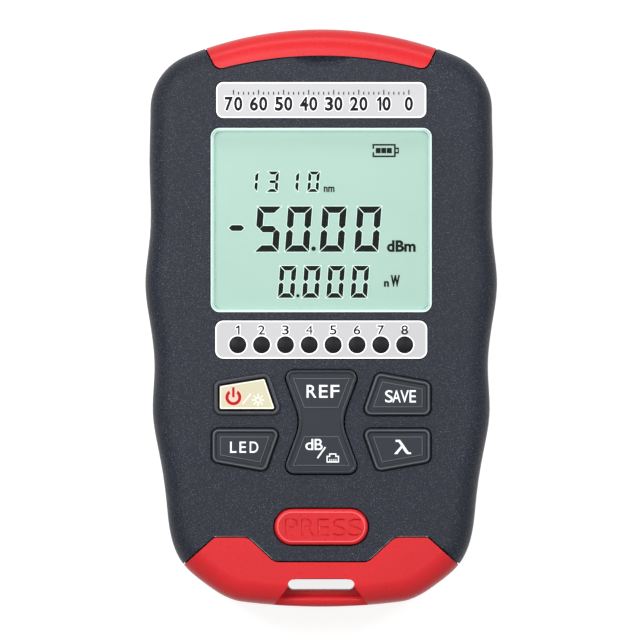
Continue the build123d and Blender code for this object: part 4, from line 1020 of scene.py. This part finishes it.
def flat_top(mesh, top):
    """Keep the shading of a form's flat top apart from its rolled edge."""
    form = bmesh.new()
    form.from_mesh(mesh)
    level = (top - FINE) * MM
    for edge in form.edges:
        tops = [min(v.co.z for v in face.verts) > level for face in edge.link_faces]
        if any(tops) and not all(tops):
            edge.smooth = False
    form.to_mesh(mesh)
    form.free()


def cut_copy(node, name, cutters, top):
    """A welded copy of a CAD node's mesh with forms cut from it."""
    welded = NODES[node].data.copy()
    form = bmesh.new()
    form.from_mesh(welded)
    bmesh.ops.remove_doubles(form, verts=form.verts, dist=WELD)
    form.to_mesh(welded)
    form.free()
    items = [bpy.data.objects.new(name, welded)]
    for cutter in cutters:
        tool = bpy.data.objects.new(cutter.name, cutter)
        change = items[0].modifiers.new(cutter.name, "BOOLEAN")
        change.operation = "DIFFERENCE"
        change.object = tool
        items.append(tool)
    for item in items:
        show(item)
    mesh = shown_mesh(items[0])
    for item in items:
        bpy.data.objects.remove(item)
    mesh.shade_smooth()
    mesh.set_sharp_from_angle(angle=radians(32))
    flat_top(mesh, top)
    return mesh


def marked_button():
    """The release button with its word sunk into the top."""
    low, high, letters = BUTTON_WORD
    cutters = [letter_mesh(f"word_{number}", letter, (left, low, right, high),
                           BUTTON_TOP_Z - BUTTON_WORD_DEPTH, BUTTON_TOP_Z + 1,
                           BUTTON_WORD_WEIGHT)
               for number, (letter, left, right) in enumerate(letters)]
    name = "release_button_marked"
    mesh = cut_copy("release_button", name, cutters, BUTTON_TOP_Z)
    piece = new_piece(name, mesh, "red", "release")
    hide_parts("release_button")


def power_button():
    """The power key and its bezel, to the outlines that they have in the photo."""
    top = KEY_TOP_Z

    def ring_outline(inset):
        return rounded_key(POWER_KEY, POWER_RING_REACH - inset, POWER_KEY_CORNER)

    foot = top - span("power_ring")[0].z
    profile = ((POWER_BEZEL[0][0], foot), *POWER_BEZEL, (POWER_BEZEL[-1][0], foot))
    ring = new_piece("power_bezel", bead_mesh("power_bezel", ring_outline, top, profile), "bezel",
                     "housing")
    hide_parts("power_ring")
    key = flat_piece("power_cap", [rounded_key(POWER_KEY, 0, POWER_KEY_CORNER)],
                     span("power_key")[0].z, top, "cream", "power", "cream_key",
                     edge=POWER_KEY_EDGE)
    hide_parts("power_key")


def front_cover():
    """The front shell with fine gaps round its plates, and a collar round the bezel."""
    hole = rounded_key(SHELL_KEY_HOLE, KEY_CLEARANCE, KEY_CORNER)
    ring = rounded_key(POWER_KEY, POWER_RING_REACH + POWER_HOLE_CLEARANCE, POWER_KEY_CORNER)
    flat_piece("power_collar", [hole, ring], FRONT_Z - COLLAR_DEPTH, FRONT_Z - PRINT_LIFT,
               "housing", "housing", "housing_plastic")
    plates = ((NAME_MIDDLE, NAME_HIGH - NAME_LOW, NAME_RADIUS),
              (LAMP_PLATE_MIDDLE, LAMP_PLATE_HIGH - LAMP_PLATE_LOW, LAMP_PLATE_RADIUS),
              (WINDOW_MIDDLE, WINDOW_HIGH - WINDOW_LOW, WINDOW_RADIUS))
    cutters = []
    for number, (middle, size, radius) in enumerate(plates):
        outline = rounded_rectangle(middle, size.x + 2 * PLATE_GAP, size.y + 2 * PLATE_GAP,
                                    radius + PLATE_GAP)
        cutters.append(flat_mesh(f"plate_gap_{number}", [outline], FRONT_Z - PLATE_GAP_DEPTH,
                                 FRONT_Z + 1))
    name = "front_shell_fitted"
    mesh = cut_copy("front_shell", name, cutters, FRONT_Z)
    piece = new_piece(name, mesh, "housing", "housing")
    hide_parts("front_shell")


def mirrored(outline, across_x=False, across_y=False):
    """An outline mirrored about the keypad's middle lines."""
    return [(-x if across_x else x, 2 * ROCKER_MIDDLE_Y - y if across_y else y)
            for x, y in outline]


def edge_lines():
    """Painted highlights: thin pale lines on the rims and plates of the keys and round the button's
    top, where light would catch their edges.
    """
    plate = grown(list(SHELL_KEY_HOLE), -KEY_PLATE_INSET)
    rim = [rounded_key(SHELL_KEY_HOLE, -inset, KEY_CORNER) for inset in KEY_RIM_HIGHLIGHT]
    outlines = rim + [plate, grown(plate, -PAINTED_HIGHLIGHT_WIDTH)]
    for body, across_x, across_y in (("save", True, False), ("torch", False, True),
                                     ("wavelength", True, True)):
        lines = [mirrored(outline, across_x, across_y) for outline in outlines]
        # Painted highlights on each key's rim and plate
        printed(f"{body}_edge_lines", lines, KEY_TOP_Z, "key_painted_highlight", body, "key_rubber")
    plates = []
    for across_y in (False, True):
        plate = mirrored(ROCKER_PLATE, across_y=across_y)
        plates += [plate, grown(plate, -PAINTED_HIGHLIGHT_WIDTH)]
    # Painted highlights on the rocker's two plates
    printed("rocker_edge_lines", plates, KEY_TOP_Z, "key_painted_highlight", "reference", "key_rubber")
    # Painted highlight: a pale red line round the button's flat top, where light would catch its rolled
    # edge
    tops = [v.co / MM for v in NODES["release_button"].data.vertices
            if v.co.z / MM > BUTTON_TOP_Z - FINE]
    low, high = [Vector((pick(co.x for co in tops), pick(co.y for co in tops)))
                 for pick in (min, max)]
    size = high - low
    line = frame_outlines((low + high) / 2, size.x, size.y, size.y / 2 - FINE, BUTTON_HIGHLIGHT_WIDTH)
    printed("button_painted_highlight", line, BUTTON_TOP_Z, "red_painted_highlight", "release", "red_plastic")


def seam_backs():
    """Webs and a ledge of the housing that close the view through the seams."""
    for name, ends in zip(("remote_seam_web", "cover_seam_web"), SEAM_WEBS):
        for side in (-1, 1):
            first, last = [(side * x, y) for x, y in ends]
            flat_piece(f"{name}_{'left' if side < 0 else 'right'}",
                       [stroke(first, last, WEB_THICKNESS)], WEB_LOW_Z, WEB_HIGH_Z, "housing",
                       "housing", "housing_plastic")
    near, far = [LIP_RADIUS + reach for reach in LIP_LEDGE]
    band = arc(0, LIP_MIDDLE_Y, near, 90 - LIP_SPREAD, 90 + LIP_SPREAD)
    band += arc(0, LIP_MIDDLE_Y, far, 90 + LIP_SPREAD, 90 - LIP_SPREAD)
    flat_piece("cover_ledge", [band], *LIP_LEDGE_Z, "housing", "housing", "housing_plastic")


def rocker_bead():
    """The raised bead round the edge of the hourglass key."""
    half = [(x, y + ROCKER_MIDDLE_Y) for x, y, _ in ROCKER]
    corners = half + [(-x, y) for x, y in reversed(half)]
    radii = [radius for *_, radius in ROCKER]

    def outline(inset):
        points = rounded_corners(corners, radii + radii[::-1], steps=12)
        shifted = []
        for before, point, after in zip(points[-1:] + points[:-1], points,
                                        points[1:] + points[:1]):
            along = (Vector(after) - Vector(before)).normalized()
            shifted.append((point[0] + along.y * -inset, point[1] + along.x * inset))
        return shifted

    if outline(1.0)[0][0] ** 2 > outline(0.0)[0][0] ** 2:
        corners.reverse()
    mesh = bead_mesh("rocker_bead", outline, KEY_TOP_Z, BEAD)
    new_piece("rocker_bead", mesh, "keys", "reference")


def socket_contacts(name, jack, body):
    """Eight gold springs in the mouth of a network socket."""
    low, high = span(jack)
    middle = (low.x + high.x) / 2
    back, front = CONTACT_Y
    foot, head = CONTACT_Z
    for number in range(CONTACTS):
        x = middle + (number - (CONTACTS - 1) / 2) * CONTACT_PITCH
        outline = rectangle(x - CONTACT_WIDTH / 2, high.y - back, x + CONTACT_WIDTH / 2,
                            high.y - front)
        flat_piece(f"{name}_{number + 1}", [outline], low.z + foot, low.z + head, "gold", body,
                   "nickel")


def area_light(name, place, size, watts, target):
    """A soft lamp that shines on the object."""
    lamp = bpy.data.lights.new(name, "AREA")
    lamp.shape = "RECTANGLE"
    lamp.size, lamp.size_y = size
    lamp.energy = watts
    holder = bpy.data.objects.new(name, lamp)
    holder.location = place
    holder.visible_camera = False
    aim = Vector(target) - Vector(place)
    holder.rotation_euler = aim.to_track_quat("-Z", "Y").to_euler()
    show(holder)


def background_rays(tree):
    """1 for camera, glossy and transmitted rays, which see the white background."""
    path = tree.nodes.new("ShaderNodeLightPath")
    total = path.outputs["Is Camera Ray"]
    for name in ("Is Glossy Ray", "Is Transmission Ray"):
        add = tree.nodes.new("ShaderNodeMath")
        add.operation = "ADD"
        add.use_clamp = True
        tree.links.new(total, add.inputs[0])
        tree.links.new(path.outputs[name], add.inputs[1])
        total = add.outputs[0]
    return total


def world_light():
    """An even pale room, white where it is seen."""
    world = bpy.data.worlds.new("room")
    world.use_nodes = True
    bpy.context.scene.world = world
    tree = world.node_tree
    background = tree.nodes["Background"]
    background.inputs["Color"].default_value = (1, 1, 1, 1)
    level = tree.nodes.new("ShaderNodeMapRange")
    input_of(level, "To Min").default_value = ROOM_LIGHT
    input_of(level, "To Max").default_value = 1.0
    tree.links.new(background_rays(tree), input_of(level, "Value"))
    tree.links.new(output_of(level, "Result"), background.inputs["Strength"])


def floor():
    """White floor that keeps a soft shadow."""
    bpy.ops.mesh.primitive_plane_add(size=FLOOR_SIZE, location=(0, 0, CAD_BOX[0].z - FLOOR_DROP))
    plane = bpy.context.object
    plane.name = "floor"
    material = bpy.data.materials.new("floor_white")
    material.use_nodes = True
    tree = material.node_tree
    shader = tree.nodes["Principled BSDF"]
    shader.inputs["Base Color"].default_value = (FLOOR_GREY, FLOOR_GREY, FLOOR_GREY, 1)
    shader.inputs["Roughness"].default_value = 0.9
    shader.inputs["Specular IOR Level"].default_value = 0.0
    glow = tree.nodes.new("ShaderNodeEmission")
    level = tree.nodes.new("ShaderNodeMath")
    level.operation = "MULTIPLY"
    level.inputs[1].default_value = FLOOR_GLOW
    tree.links.new(background_rays(tree), level.inputs[0])
    tree.links.new(level.outputs[0], glow.inputs["Strength"])
    add = tree.nodes.new("ShaderNodeAddShader")
    tree.links.new(shader.outputs[0], add.inputs[0])
    tree.links.new(glow.outputs[0], add.inputs[1])
    tree.links.new(add.outputs[0], tree.nodes["Material Output"].inputs["Surface"])
    plane.data.materials.append(material)


def camera():
    """A long lens straight above the front, framed as the photograph is."""
    lens = bpy.data.cameras.new("camera")
    lens.lens = LENS
    lens.sensor_width = SENSOR
    lens.clip_start = 0.05
    lens.clip_end = 60
    holder = bpy.data.objects.new("camera", lens)
    distance = PHOTO_WIDTH * LENS / SENSOR
    holder.location = (*PHOTO_CENTRE, FRONT_Z * MM + distance)
    show(holder)
    bpy.context.scene.camera = holder


bpy.context.scene.view_settings.view_transform = "Standard"
dress_nodes()
display()
scale_plate()
lamp_plate()
key_legends()
power_button()
front_cover()
seam_backs()
edge_lines()
rocker_bead()
marked_button()
socket_contacts("network_contact", "network_jack", "housing")
socket_contacts("remote_contact", "remote_jack", "remote")
floor()
world_light()
for lamp_name, values in LIGHTS.items():
    area_light(lamp_name, *values)
camera()
